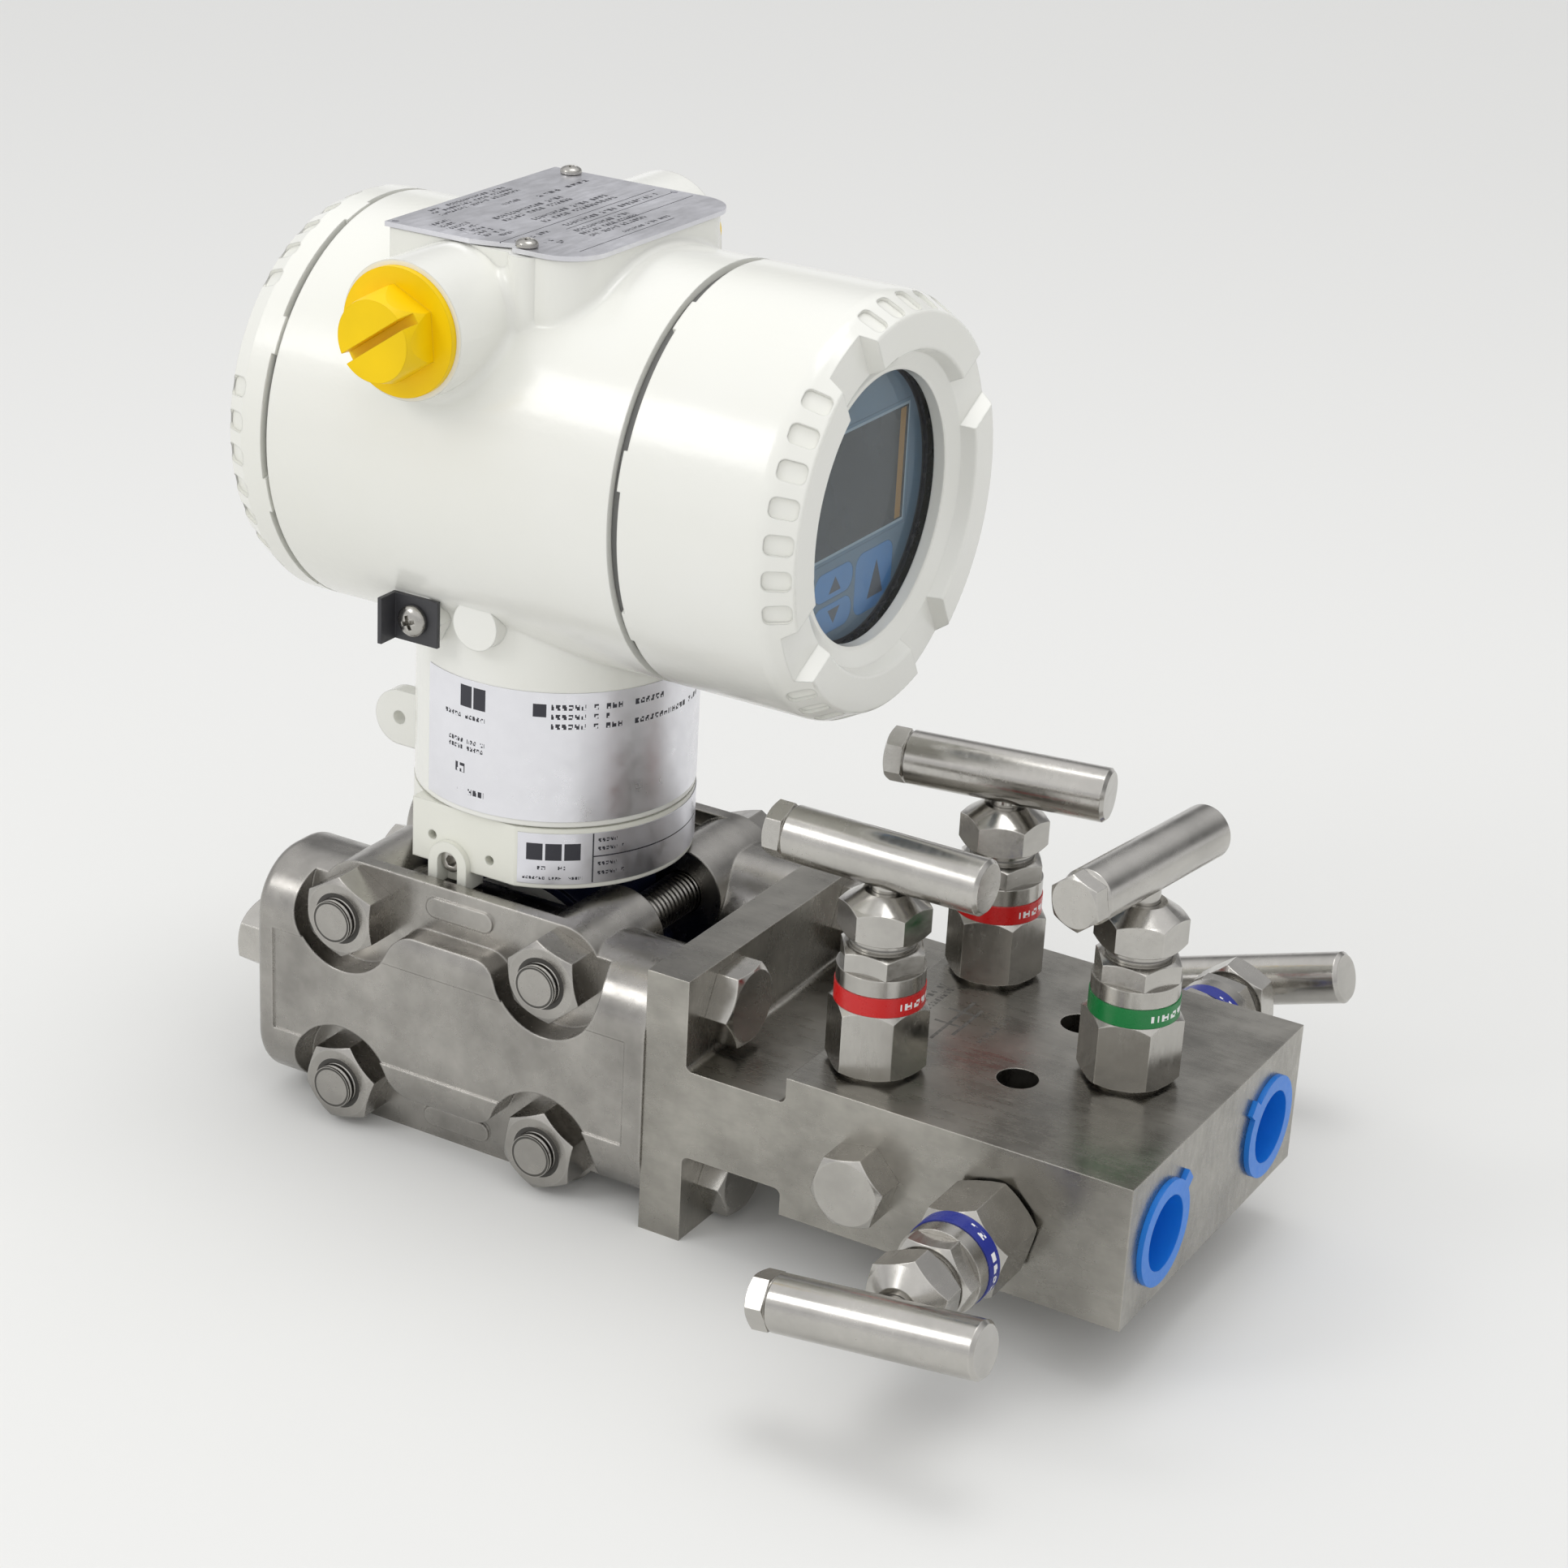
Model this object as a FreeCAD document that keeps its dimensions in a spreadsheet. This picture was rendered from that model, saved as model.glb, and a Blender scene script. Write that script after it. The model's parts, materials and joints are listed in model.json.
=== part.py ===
import FreeCAD, Part
import math
import os

import Sketcher
from FreeCAD import Placement, Rotation, Vector

# A differential pressure transmitter on a five-valve manifold, in millimetres.
# +X runs along the manifold towards the inlet ports, +Z is up and the high pressure side is -Y.
# The origin lies on the standing surface, in the middle of the manifold plate's foot.

SIZES = {
    # Manifold: instrument plate, web and valve block. Places along it are measured from the
    # joint face, where the plate meets the process flanges.
    "plate_height": 62.4,
    "plate_width": 87.0,
    "plate_thickness": 10.3,
    "web_height": 20.6,
    "web_round": 1.6,
    "block_start": 34.6,
    "block_end": 114.0,
    "block_height": 32.6,
    "port_spacing": 54.0,
    "bolt_rise": 41.3,
    "side_drop": 1.0,
    "flow_bore": 6.0,
    "cross_bore": 5.0,
    "inlet_bore": 18.6,
    "inlet_depth": 16.0,
    "vent_place": 46.4,
    "plug_place": 54.0,
    "hole_place": 74.0,
    "isolate_place": 84.2,
    "equalize_place": 92.0,
    "hole_spacing": 30.4,
    "hole_bore": 9.0,
    # Bolts between manifold and flanges, and the plugs of block, flanges and inlets.
    "bolt_diameter": 9.8,
    "bolt_way": 10.8,
    "bolt_flats": 16.8,
    "bolt_head": 6.1,
    "head_top_share": 0.48,
    "head_slope": 0.55,
    "bolt_reach": 14.0,
    "test_flats": 15.0,
    "test_head": 8.0,
    "test_thread": 10.0,
    "drain_flats": 14.0,
    "drain_head": 13.0,
    "drain_thread": 9.0,
    "plug_reach": 9.0,
    "cap_flange": 23.0,
    "cap_rim": 1.2,
    "cap_cup": 12.0,
    "cap_wall": 1.1,
    "cap_tab_width": 3.6,
    "cap_tab_reach": 2.4,
    # Needle valves, measured outwards from the face of the block.
    "cavity_bore": 14.0,
    "cavity_depth": 12.0,
    "seat_bore": 3.6,
    "spigot_length": 8.0,
    "collar_height": 0.8,
    "collar_diameter": 16.0,
    "bonnet_flats": 19.0,
    "bonnet_hex": 14.5,
    "bonnet_top": 15.6,
    "band_diameter": 19.3,
    "band_height": 4.3,
    "band_wall": 0.7,
    "shoulder_diameter": 18.9,
    "shoulder_height": 3.9,
    "thread_diameter": 14.0,
    "thread_top": 34.4,
    "lock_flats": 16.6,
    "lock_height": 4.8,
    "gland_start": 31.0,
    "gland_flats": 17.0,
    "gland_hex": 7.0,
    "gland_cone": 2.6,
    "packing_diameter": 10.0,
    "packing_height": 6.0,
    "stem_diameter": 6.6,
    "stem_start": 5.0,
    "tip_diameter": 5.4,
    "bar_rise": 47.0,
    "bar_diameter": 12.0,
    "bar_length": 46.0,
    "bar_edge": 0.8,
    "bar_socket": 2.0,
    "bar_screw_flats": 10.8,
    "bar_screw_head": 4.2,
    "bar_screw_thread": 6.0,
    "isolate_lift": 0.5,
    "equalize_lift": 1.8,
    # Process flanges, one on each side of the sensor, and their studs and seals.
    "flange_length": 104.0,
    "flange_face": 44.0,
    "flange_back": 12.0,
    "flange_height": 56.0,
    "flange_round": 14.0,
    "flange_edge": 2.5,
    "ear_face": 36.5,
    "ear_web": 3.4,
    "pocket_radius": 13.6,
    "pocket_rise": 20.0,
    "pocket_blend": 6.5,
    "panel_height": 25.0,
    "panel_step": 0.5,
    "panel_margin": 5.0,
    "cast_pad_length": 17.7,
    "cast_pad_height": 4.8,
    "cast_pad_lift": 0.6,
    "cast_pad_rise": 26.0,
    "stud_diameter": 9.8,
    "stud_way": 10.8,
    "stud_spacing": 54.0,
    "stud_end": 47.3,
    "nut_flats": 16.8,
    "nut_height": 8.4,
    "flow_way": 10.0,
    "seal_outer": 17.0,
    "seal_inner": 12.0,
    "seal_height": 2.0,
    "chamber_radius": 19.0,
    "chamber_depth": 1.5,
    # Sensor capsule with its neck, and the clamp ring around the neck.
    "sensor_axis": 53.0,
    "sensor_radius": 27.0,
    "face_seal_outer": 25.0,
    "face_seal_inner": 21.5,
    "face_seal_depth": 1.2,
    "diaphragm_radius": 19.5,
    "diaphragm_sheet": 0.4,
    "collar_radius": 25.0,
    "level_drop": 31.2,
    "collar_clearance": 0.6,
    "sensor_neck": 21.0,
    "sensor_top": 62.0,
    "ring_radius": 31.6,
    "ring_bottom": 33.4,
    "ring_top": 47.6,
    "ring_face": 30.1,
    "ring_face_left": 17.5,
    "arch_place": 7.1,
    "arch_rise": 34.6,
    "arch_radius": 5.1,
    "arch_lift": 1.5,
    "arch_leg": 28.9,
    "arch_slot_depth": 4.0,
    "set_screw": 5.2,
    "set_screw_length": 5.2,
    "set_screw_socket": 2.5,
    "pin_hole": 2.2,
    # Housing: neck, barrel, nameplate pad, conduit bosses, lug and earth boss.
    "neck_radius": 31.5,
    "neck_gap": 0.4,
    "neck_blend": 1.5,
    "wire_way": 12.0,
    "wire_way_place": 14.0,
    "barrel_rise": 126.8,
    "barrel_radius": 45.5,
    "barrel_front": 40.5,
    "barrel_rear": 45.2,
    "thread_radius": 40.8,
    "cavity_radius": 39.0,
    "rear_cavity": 48.5,
    "partition": 4.5,
    "conduit_place": 7.0,
    "conduit_drop": 12.5,
    "conduit_radius": 14.6,
    "conduit_reach": 50.0,
    "conduit_bore": 20.0,
    "pad_rise": 2.1,
    "seam_blend": 2.0,
    "lug_reach": 36.0,
    "lug_place": 8.0,
    "lug_rise": 55.0,
    "lug_radius": 6.6,
    "lug_thickness": 4.0,
    "lug_hole": 3.2,
    "earth_place": 13.8,
    "earth_lift": 10.2,
    "earth_reach": 34.4,
    "earth_flats": 11.0,
    "boss_place": 1.3,
    "boss_lift": 12.1,
    "boss_reach": 34.6,
    "boss_radius": 5.6,
    "post_radius": 3.0,
    "post_length": 6.0,
    "post_circle": 30.0,
    # Screwed covers with their seals, and the window.
    "cover_gap": 1.6,
    "rear_gap": 0.8,
    "cover_fit": 0.3,
    "cover_thread": 12.5,
    "thread_relief": 1.5,
    "cover_front": 36.9,
    "cover_rear": 11.8,
    "cover_edge": 1.0,
    "cover_bore": 37.0,
    "rear_face": 5.0,
    "face_rise": 1.75,
    "lip_width": 0.8,
    "ridge_height": 3.2,
    "ridge_inner": 33.2,
    "ridge_lean": 1.15,
    "ridge_outer": 42.1,
    "ridge_edge": 0.7,
    "ridge_gap": 12.6,
    "ridge_slope": 1.2,
    "rim_slope": 6.6,
    "shoulder_round": 7.0,
    "cut_over": 4.5,
    "grip_width": 4.2,
    "grip_length": 6.0,
    "grip_depth": 0.9,
    "grip_round": 1.4,
    "rear_slope": 5.0,
    "rear_lean": 2.4,
    "step_width": 8.3,
    "step_depth": 0.8,
    "step_inset": 0.5,
    "window_radius": 29.1,
    "window_lip": 2.6,
    "glass_radius": 34.0,
    "glass_thickness": 4.4,
    "retainer_inner": 30.6,
    "retainer_height": 3.6,
    "cover_seal_width": 3.4,
    "seal_squeeze": 0.2,
    # Inside the housing.
    "board_radius": 36.0,
    "board_thickness": 1.6,
    "display_radius": 30.0,
    "display_depth": 18.0,
    "display_gap": 0.6,
    "leg_radius": 2.5,
    "leg_circle": 25.0,
    "screen_width": 46.0,
    "screen_height": 28.0,
    "screen_rise": 3.8,
    "screen_depth": 1.0,
    "key_width": 16.0,
    "key_height": 13.8,
    "key_space": 1.2,
    "key_shift": 1.8,
    "key_top": 12.4,
    "key_round": 3.0,
    "terminal_width": 56.0,
    "terminal_height": 30.0,
    "terminal_depth": 15.0,
    "terminal_pitch": 14.0,
    "terminal_head": 8.0,
    "terminal_head_height": 2.6,
    "terminal_thread": 4.0,
    # Nameplate, its screws and the push buttons under it.
    "name_left": 25.0,
    "name_right": 23.4,
    "name_width": 63.0,
    "name_round": 9.5,
    "name_sheet": 1.0,
    "name_gap": 0.3,
    "name_edge": 0.8,
    "pivot_place": 19.0,
    "clamp_place": 8.6,
    "name_screw_across": 28.8,
    "clamp_boss": 3.8,
    "name_screw": 2.8,
    "name_slot": 3.4,
    "name_head": 4.8,
    "name_head_height": 1.7,
    "name_screw_reach": 6.0,
    "button_diameter": 6.0,
    "button_length": 3.0,
    "button_travel": 1.5,
    "button_clearance": 0.5,
    "button_pitch": 12.0,
    # Conduit plugs, earth terminal and labels.
    "plug_flange": 27.0,
    "plug_rim": 1.6,
    "plug_flats": 17.5,
    "plug_head": 10.0,
    "plug_slot": 2.2,
    "plug_slot_depth": 4.0,
    "plug_shank": 12.0,
    "bracket_width": 12.0,
    "bracket_height": 10.4,
    "bracket_sheet": 1.0,
    "bracket_lip": 5.0,
    "earth_screw": 4.0,
    "earth_screw_reach": 9.0,
    "earth_head": 7.0,
    "earth_head_height": 2.6,
    "label_bottom": 49.3,
    "label_top": 79.4,
    "label_sheet": 0.2,
    "ring_label_margin": 1.1,
    "fit": 0.05,
    "running_fit": 0.1,
}

# Angles in degrees that no other size depends on: where features sit round the covers, and how
# far each hexagon or cap happened to be turned when it was tightened.

RIDGE_GAPS_AT = 29.5
RIDGES_AT = 74.5
GRIP_PITCH = 9.7
GRIPS_EACH_WAY = 3
POSTS_AT = 45
NAME_SWING = 16
NECK_LABEL_ARC = (-118, 45)
RING_LABEL_ARC = (-71, 40)
TURNS = {
    "manifold_low": 28,
    "manifold_top": 33,
    "test": 12,
    "drain": 5,
    "nut": 14,
    "nut_step": 9,
    "bonnet": 15,
    "lock": 4,
    "gland": 22,
    "bar_screw": 10,
    "conduit_plug": 35,
    "cap_high": 130,
    "cap_low": 230,
}

doc = FreeCAD.newDocument("transmitter")
sheet = doc.addObject("Spreadsheet::Sheet", "Sizes")
for row, (alias, number) in enumerate(SIZES.items(), start=1):
    sheet.set("A%d" % row, alias)
    sheet.set("B%d" % row, str(number))
    sheet.setAlias("B%d" % row, alias)
doc.recompute()


class Size:
    """A size together with the sheet formula that gives it, so that objects can be bound to it."""

    def __init__(self, text, value):
        self.text = text
        self.value = value

    def __add__(self, other):
        other = size(other)
        return Size("(%s + %s)" % (self.text, other.text), self.value + other.value)

    def __sub__(self, other):
        other = size(other)
        return Size("(%s - %s)" % (self.text, other.text), self.value - other.value)

    def __mul__(self, other):
        other = size(other)
        return Size("(%s * %s)" % (self.text, other.text), self.value * other.value)

    def __truediv__(self, other):
        other = size(other)
        return Size("(%s / %s)" % (self.text, other.text), self.value / other.value)

    def __neg__(self):
        return Size("(0 - %s)" % self.text, -self.value)

    def __radd__(self, other):
        return size(other) + self

    def __rsub__(self, other):
        return size(other) - self

    def __rmul__(self, other):
        return size(other) * self


def size(number):
    if isinstance(number, Size):
        return number
    return Size("(%.6f)" % number, float(number))


def root(number):
    return Size("sqrt(%s)" % number.text, math.sqrt(number.value))


class Sheet:
    """Every named size as an attribute."""

    def __getattr__(self, alias):
        return Size("Sizes." + alias, float(sheet.get(alias)))


d = Sheet()

ALONG = {
    "+x": Rotation(Vector(0, 1, 0), 90),
    "-x": Rotation(Vector(0, 1, 0), -90),
    "+y": Rotation(Vector(1, 0, 0), -90),
    "-y": Rotation(Vector(1, 0, 0), 90),
    "+z": Rotation(),
    "-z": Rotation(Vector(1, 0, 0), 180),
}


def turned_by(angle, along="+z"):
    """The rotation to a direction, with the piece first turned about its own axis."""
    return ALONG[along] * Rotation(Vector(0, 0, 1), angle)


# Helpers that make document objects and bind what they are given to the sheet.


def quarter_angles(first):
    return [first + 90 * i for i in range(4)]


def bind(thing, prop, amount):
    thing.setExpression(prop, size(amount).text)


def place(thing, at, rotation):
    thing.Placement = Placement(Vector(*(size(a).value for a in at)), rotation)
    for axis, amount in zip("xyz", at):
        bind(thing, "Placement.Base." + axis, amount)
    return thing


def box(name, x, y, z):
    """A box between pairs of coordinates."""
    thing = doc.addObject("Part::Box", name)
    for prop, (low, high) in zip(("Length", "Width", "Height"), (x, y, z)):
        bind(thing, prop, size(high) - low)
    return place(thing, (x[0], y[0], z[0]), Rotation())


def cylinder(name, radius, length, at=(0, 0, 0), along="+z"):
    thing = doc.addObject("Part::Cylinder", name)
    bind(thing, "Radius", radius)
    bind(thing, "Height", length)
    return place(thing, at, ALONG[along])


def hexagon(name, flats, length, at=(0, 0, 0), along="+z", turn=0.0):
    thing = doc.addObject("Part::Prism", name)
    thing.Polygon = 6
    bind(thing, "Circumradius", size(flats) / math.sqrt(3))
    bind(thing, "Height", length)
    return place(thing, at, turned_by(turn, along))


def fuse(name, things):
    thing = doc.addObject("Part::MultiFuse", name)
    thing.Shapes = list(things)
    thing.Refine = True
    return thing


def common(name, things):
    thing = doc.addObject("Part::MultiCommon", name)
    thing.Shapes = list(things)
    return thing


def cut(name, base, tools):
    tools = list(tools)
    thing = doc.addObject("Part::Cut", name)
    thing.Base = base
    thing.Tool = tools[0] if len(tools) == 1 else fuse(name + "_tools", tools)
    return thing


def group(name, things):
    thing = doc.addObject("Part::Compound", name)
    thing.Links = list(things)
    return thing


def mirrored(name, thing):
    """The same piece on the other side of the manifold's middle plane."""
    copy = doc.addObject("Part::Mirroring", name)
    copy.Source = thing
    copy.Normal = Vector(0, 1, 0)
    return copy


def pair(name, thing):
    return group(name + "_pair", (thing, mirrored(name + "_mirrored", thing)))


def again(name, thing, at=(0, 0, 0), rotation=Rotation()):
    """The same piece once more, at another place."""
    copy = doc.addObject("App::Link", name)
    copy.LinkedObject = thing
    copy.LinkTransform = True
    return place(copy, at, rotation)


def around(name, thing, angles):
    """The same piece at several angles about its own Z axis."""
    copies = [
        again("%s_%d" % (name, i), thing, rotation=turned_by(angle)) for i, angle in enumerate(angles)
    ]
    return group(name, copies)


def rounded(name, base, radius, wanted):
    """Fillets the edges that the test picks."""
    doc.recompute()
    edges = [i for i, edge in enumerate(base.Shape.Edges, start=1) if wanted(edge)]
    if not edges:
        raise ValueError("no edges to round on " + name)
    thing = doc.addObject("Part::Fillet", name)
    thing.Base = base
    thing.Edges = [(i, size(radius).value, size(radius).value) for i in edges]
    return thing


def runs_along(edge, axis):
    """True for a straight edge that runs along the axis."""
    if not isinstance(edge.Curve, Part.Line):
        return False
    return abs(abs(edge.Curve.Direction.dot(Vector(*axis))) - 1) < 1e-6


def middle(edge):
    return edge.valueAt((edge.FirstParameter + edge.LastParameter) / 2)


def near(number, amount):
    return abs(number - size(amount).value) < 0.01


def draw(body, role, points):
    """A closed outline on one of the body's own planes, each corner held by the sheet."""
    sketch = body.newObject("Sketcher::SketchObject", body.Name + "_outline")
    plane = next(f for f in body.Origin.OriginFeatures if f.Role == role)
    sketch.AttachmentSupport = [(plane, "")]
    sketch.MapMode = "FlatFace"
    corners = [Vector(size(a).value, size(b).value, 0) for a, b in points]
    count = len(corners)
    for i in range(count):
        sketch.addGeometry(Part.LineSegment(corners[i], corners[(i + 1) % count]))
    for i in range(count):
        sketch.addConstraint(Sketcher.Constraint("Coincident", i, 2, (i + 1) % count, 1))
    for i, (a, b) in enumerate(points):
        for kind, axis, amount in (("DistanceX", -2, size(a)), ("DistanceY", -1, size(b))):
            if abs(amount.value) < 1e-9:
                sketch.addConstraint(Sketcher.Constraint("PointOnObject", i, 1, axis))
                continue
            rule = sketch.addConstraint(Sketcher.Constraint(kind, -1, 1, i, 1, amount.value))
            sketch.setExpression("Constraints[%d]" % rule, amount.text)
    return sketch


def lathe(name, points, at=(0, 0, 0), along="+z"):
    """A turned piece: pairs of radius and height, revolved about its own Z axis."""
    body = doc.addObject("PartDesign::Body", name)
    sketch = draw(body, "XZ_Plane", points)
    turned = body.newObject("PartDesign::Revolution", name + "_turned")
    turned.Profile = sketch
    turned.ReferenceAxis = (sketch, ["V_Axis"])
    turned.Angle = 360
    body.Tip = turned
    return place(body, at, ALONG[along])


def slab(name, points, length, at=(0, 0, 0), rotation=Rotation()):
    """A plate with the drawn outline, padded along its own Z axis."""
    body = doc.addObject("PartDesign::Body", name)
    sketch = draw(body, "XY_Plane", points)
    pad = body.newObject("PartDesign::Pad", name + "_pad")
    pad.Profile = sketch
    bind(pad, "Length", length)
    body.Tip = pad
    return place(body, at, rotation)


def washer(name, outer, inner, low, high, at=(0, 0, 0), along="+z"):
    """A plain ring between two heights."""
    points = [(inner, low), (outer, low), (outer, high), (inner, high)]
    return lathe(name, points, at, along)


def hex_head(name, flats, height, at=(0, 0, 0), along="+z", turn=0.0):
    """A hexagon with its outer corners turned off, as on a bolt head."""
    corner = size(flats) / math.sqrt(3)
    top = size(flats) * d.head_top_share
    shoulder = height - (corner - top) * d.head_slope
    points = [(0, 0), (corner, 0), (corner, shoulder), (top, height), (0, height)]
    blank = hexagon(name + "_blank", flats, height, at, along, turn)
    return common(name, (blank, lathe(name + "_turning", points, at, along)))


NODES = {}


def node(name, thing):
    thing.Label = name
    NODES[name] = thing
    return thing


# Places that several sub-parts share.

joint_x = -d.plate_thickness / 2
plate_x = d.plate_thickness / 2
block_x = (joint_x + d.block_start, joint_x + d.block_end)
port_z = d.plate_height / 2
level_z = d.plate_height - d.level_drop
side_z = port_z - d.side_drop
side_y = d.plate_width / 2
port_y = d.port_spacing / 2
block_low = port_z - d.block_height / 2
block_top = port_z + d.block_height / 2
ear_radius = (d.plate_height - d.bolt_rise) / 2
axis_x = joint_x - d.sensor_axis
flange_end_x = joint_x - d.flange_length
stud_xs = (axis_x - d.stud_spacing / 2, axis_x + d.stud_spacing / 2)
stud_zs = (port_z - d.bolt_rise / 2, port_z + d.bolt_rise / 2)
barrel_z = level_z + d.barrel_rise
front_x = axis_x + d.barrel_front
rear_x = axis_x - d.barrel_rear
barrel_low = barrel_z - d.barrel_radius
conduit_at = (axis_x - d.conduit_place, barrel_z + d.barrel_radius - d.conduit_drop)
pad_z = barrel_z + d.barrel_radius + d.pad_rise
neck_z = level_z + d.ring_top + d.neck_gap
stem_way = d.stem_diameter / 2 + d.running_fit

# The five needle valves: direction, place on the block, turn of the handle and lift from closed.

VALVES = {
    "vent_high": ("+z", (joint_x + d.vent_place, -port_y, block_top), 180, size(0)),
    "vent_low": ("+z", (joint_x + d.vent_place, port_y, block_top), 189, size(0)),
    "equalize": ("+z", (joint_x + d.equalize_place, size(0), block_top), 262, d.equalize_lift),
    "isolate_high": ("-y", (joint_x + d.isolate_place, -side_y, side_z), 187, d.isolate_lift),
    "isolate_low": ("+y", (joint_x + d.isolate_place, side_y, side_z), 162, d.isolate_lift),
}
INWARD = {"+z": "-z", "-y": "+y", "+y": "-y"}


# Manifold.


def manifold_drills():
    cross = (joint_x + d.equalize_place, -port_y, port_z)
    drills = [cylinder("cross_flow", d.cross_bore / 2, d.port_spacing, cross, "+y")]
    for side, sign, inward in (("high", -1, "+y"), ("low", 1, "-y")):
        y = port_y * sign
        drills.append(cylinder("flow_" + side, d.flow_bore / 2, d.block_end, (joint_x, y, port_z), "+x"))
        inlet = (block_x[1] - d.inlet_depth, y, side_z)
        drills.append(cylinder("inlet_" + side, d.inlet_bore / 2, d.inlet_depth, inlet, "+x"))
        for i, z in enumerate(stud_zs):
            way = "bolt_way_%s_%d" % (side, i)
            drills.append(cylinder(way, d.bolt_way / 2, d.plate_thickness, (joint_x, y, z), "+x"))
        hole = (joint_x + d.hole_place, d.hole_spacing / 2 * sign, block_low)
        drills.append(cylinder("through_" + side, d.hole_bore / 2, d.block_height, hole))
        mouth = (joint_x + d.plug_place, side_y * sign, side_z)
        tapped = d.test_thread / 2 + d.fit
        drills.append(cylinder("test_way_" + side, tapped, d.plug_reach + d.fit, mouth, inward))
        drills.append(cylinder("test_flow_" + side, d.seat_bore / 2, side_y - port_y, mouth, inward))
    for name, (along, at, _, _) in VALVES.items():
        inward = INWARD[along]
        drills.append(cylinder("cavity_" + name, d.cavity_bore / 2, d.cavity_depth, at, inward))
        depth = block_top - port_z if along == "+z" else side_y - port_y
        drills.append(cylinder("seat_" + name, d.seat_bore / 2, depth, at, inward))
    return drills


def manifold_body():
    across = (-side_y, side_y)
    half_web = d.web_height / 2
    plate = box("plate", (joint_x, plate_x), across, (0, d.plate_height))
    web = box("web", (plate_x, block_x[0]), across, (port_z - half_web, port_z + half_web))
    block = box("block", block_x, across, (block_low, block_top))
    blank = fuse("manifold_blank", (plate, web, block))

    def inner_corner(edge):
        spot = middle(edge)
        if not runs_along(edge, (0, 1, 0)):
            return False
        inside = near(spot.x, plate_x) or near(spot.x, block_x[0])
        return inside and near(abs(spot.z - port_z.value), half_web)

    whole = rounded("manifold_rounded", blank, d.web_round, inner_corner)
    return cut("manifold_drilled", whole, manifold_drills())


def manifold_bolt(row):
    name = "manifold_bolt_" + row
    turn = TURNS["manifold_" + row]
    head = hex_head(name + "_head", d.bolt_flats, d.bolt_head, turn=turn)
    length = d.plate_thickness + d.bolt_reach
    return fuse(name, (head, cylinder(name + "_shank", d.bolt_diameter / 2, length, along="-z")))


def manifold_bolts():
    bolts = []
    for z, row in zip(stud_zs, ("low", "top")):
        bolt = manifold_bolt(row)
        for y in (-port_y, port_y):
            bolts.append(again("bolt_copy", bolt, (plate_x, y, z), ALONG["+x"]))
    return group("all_manifold_bolts", bolts)


def threaded_plug(name, flats, head, thread, at, along, turn):
    """A hexagon plug whose thread sits in its hole behind the face."""
    plug = fuse(name, (
        hex_head(name + "_head", flats, head, turn=turn),
        cylinder(name + "_thread", thread / 2, d.plug_reach, along="-z"),
    ))
    return place(plug, at, ALONG[along])


def test_plugs():
    at = (joint_x + d.plug_place, -side_y, side_z)
    plug = threaded_plug("test_plug", d.test_flats, d.test_head, d.test_thread, at, "-y", TURNS["test"])
    return pair("test_plug", plug)


def port_cap(side, sign):
    """A push-in cap: a thin rim with a pull tab, and a cup that grips the inlet."""
    cup = d.inlet_bore / 2 - d.fit
    inner = cup - d.cap_wall
    rim = d.cap_flange / 2
    floor = d.cap_wall - d.cap_cup
    points = [(0, -d.cap_cup), (cup, -d.cap_cup), (cup, 0), (rim, 0)]
    points += [(rim, d.cap_rim), (inner, d.cap_rim), (inner, floor), (0, floor)]
    disc = lathe("cap_disc_" + side, points)
    half = d.cap_tab_width / 2
    reach = (rim - d.cap_rim, rim + d.cap_tab_reach)
    tab = box("cap_tab_" + side, reach, (-half, half), (0, d.cap_rim))
    cap = fuse("cap_" + side, (disc, tab))
    return place(cap, (block_x[1], port_y * sign, side_z), turned_by(TURNS["cap_" + side], "+x"))


# Needle valves. Each piece is made once, standing on the origin, and copied to its places.


def bonnet():
    spigot = d.cavity_bore / 2 - d.fit
    inner = stem_way
    shoulder = d.shoulder_diameter / 2
    seat = d.band_diameter / 2 - d.band_wall
    band_top = d.bonnet_top + d.band_height
    shoulder_top = band_top + d.shoulder_height
    packing = d.packing_diameter / 2
    packing_low = d.thread_top - d.packing_height
    upper = lathe("bonnet_upper", [
        (inner, -d.spigot_length), (spigot, -d.spigot_length), (spigot, 0),
        (d.collar_diameter / 2, 0), (d.collar_diameter / 2, d.bonnet_top),
        (seat, d.bonnet_top), (seat, band_top), (shoulder, band_top), (shoulder, shoulder_top),
        (d.thread_diameter / 2, shoulder_top), (d.thread_diameter / 2, d.thread_top),
        (packing, d.thread_top), (packing, packing_low), (inner, packing_low),
    ])
    corner = d.bonnet_flats / math.sqrt(3)
    rim = d.band_diameter / 2
    outline = [
        (inner, d.collar_height), (rim, d.collar_height), (corner, d.collar_height * 2),
        (corner, d.bonnet_hex), (rim, d.bonnet_top), (inner, d.bonnet_top),
    ]
    height = d.bonnet_top - d.collar_height
    foot = (0, 0, d.collar_height)
    blank = hexagon("bonnet_blank", d.bonnet_flats, height, foot, turn=TURNS["bonnet"])
    hexed = common("bonnet_hex", (blank, lathe("bonnet_turning", outline)))
    return fuse("bonnet_piece", (hexed, upper))


def valve_band():
    outer = d.band_diameter / 2
    inner = outer - d.band_wall
    return washer("band_piece", outer, inner, d.bonnet_top, d.bonnet_top + d.band_height)


def lock_nut():
    low = d.bonnet_top + d.band_height + d.shoulder_height
    head = hex_head("lock_blank", d.lock_flats, d.lock_height, (0, 0, low), turn=TURNS["lock"])
    bore = cylinder("lock_bore", d.thread_diameter / 2 + d.fit, d.lock_height, (0, 0, low))
    return cut("lock_piece", head, [bore])


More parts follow.
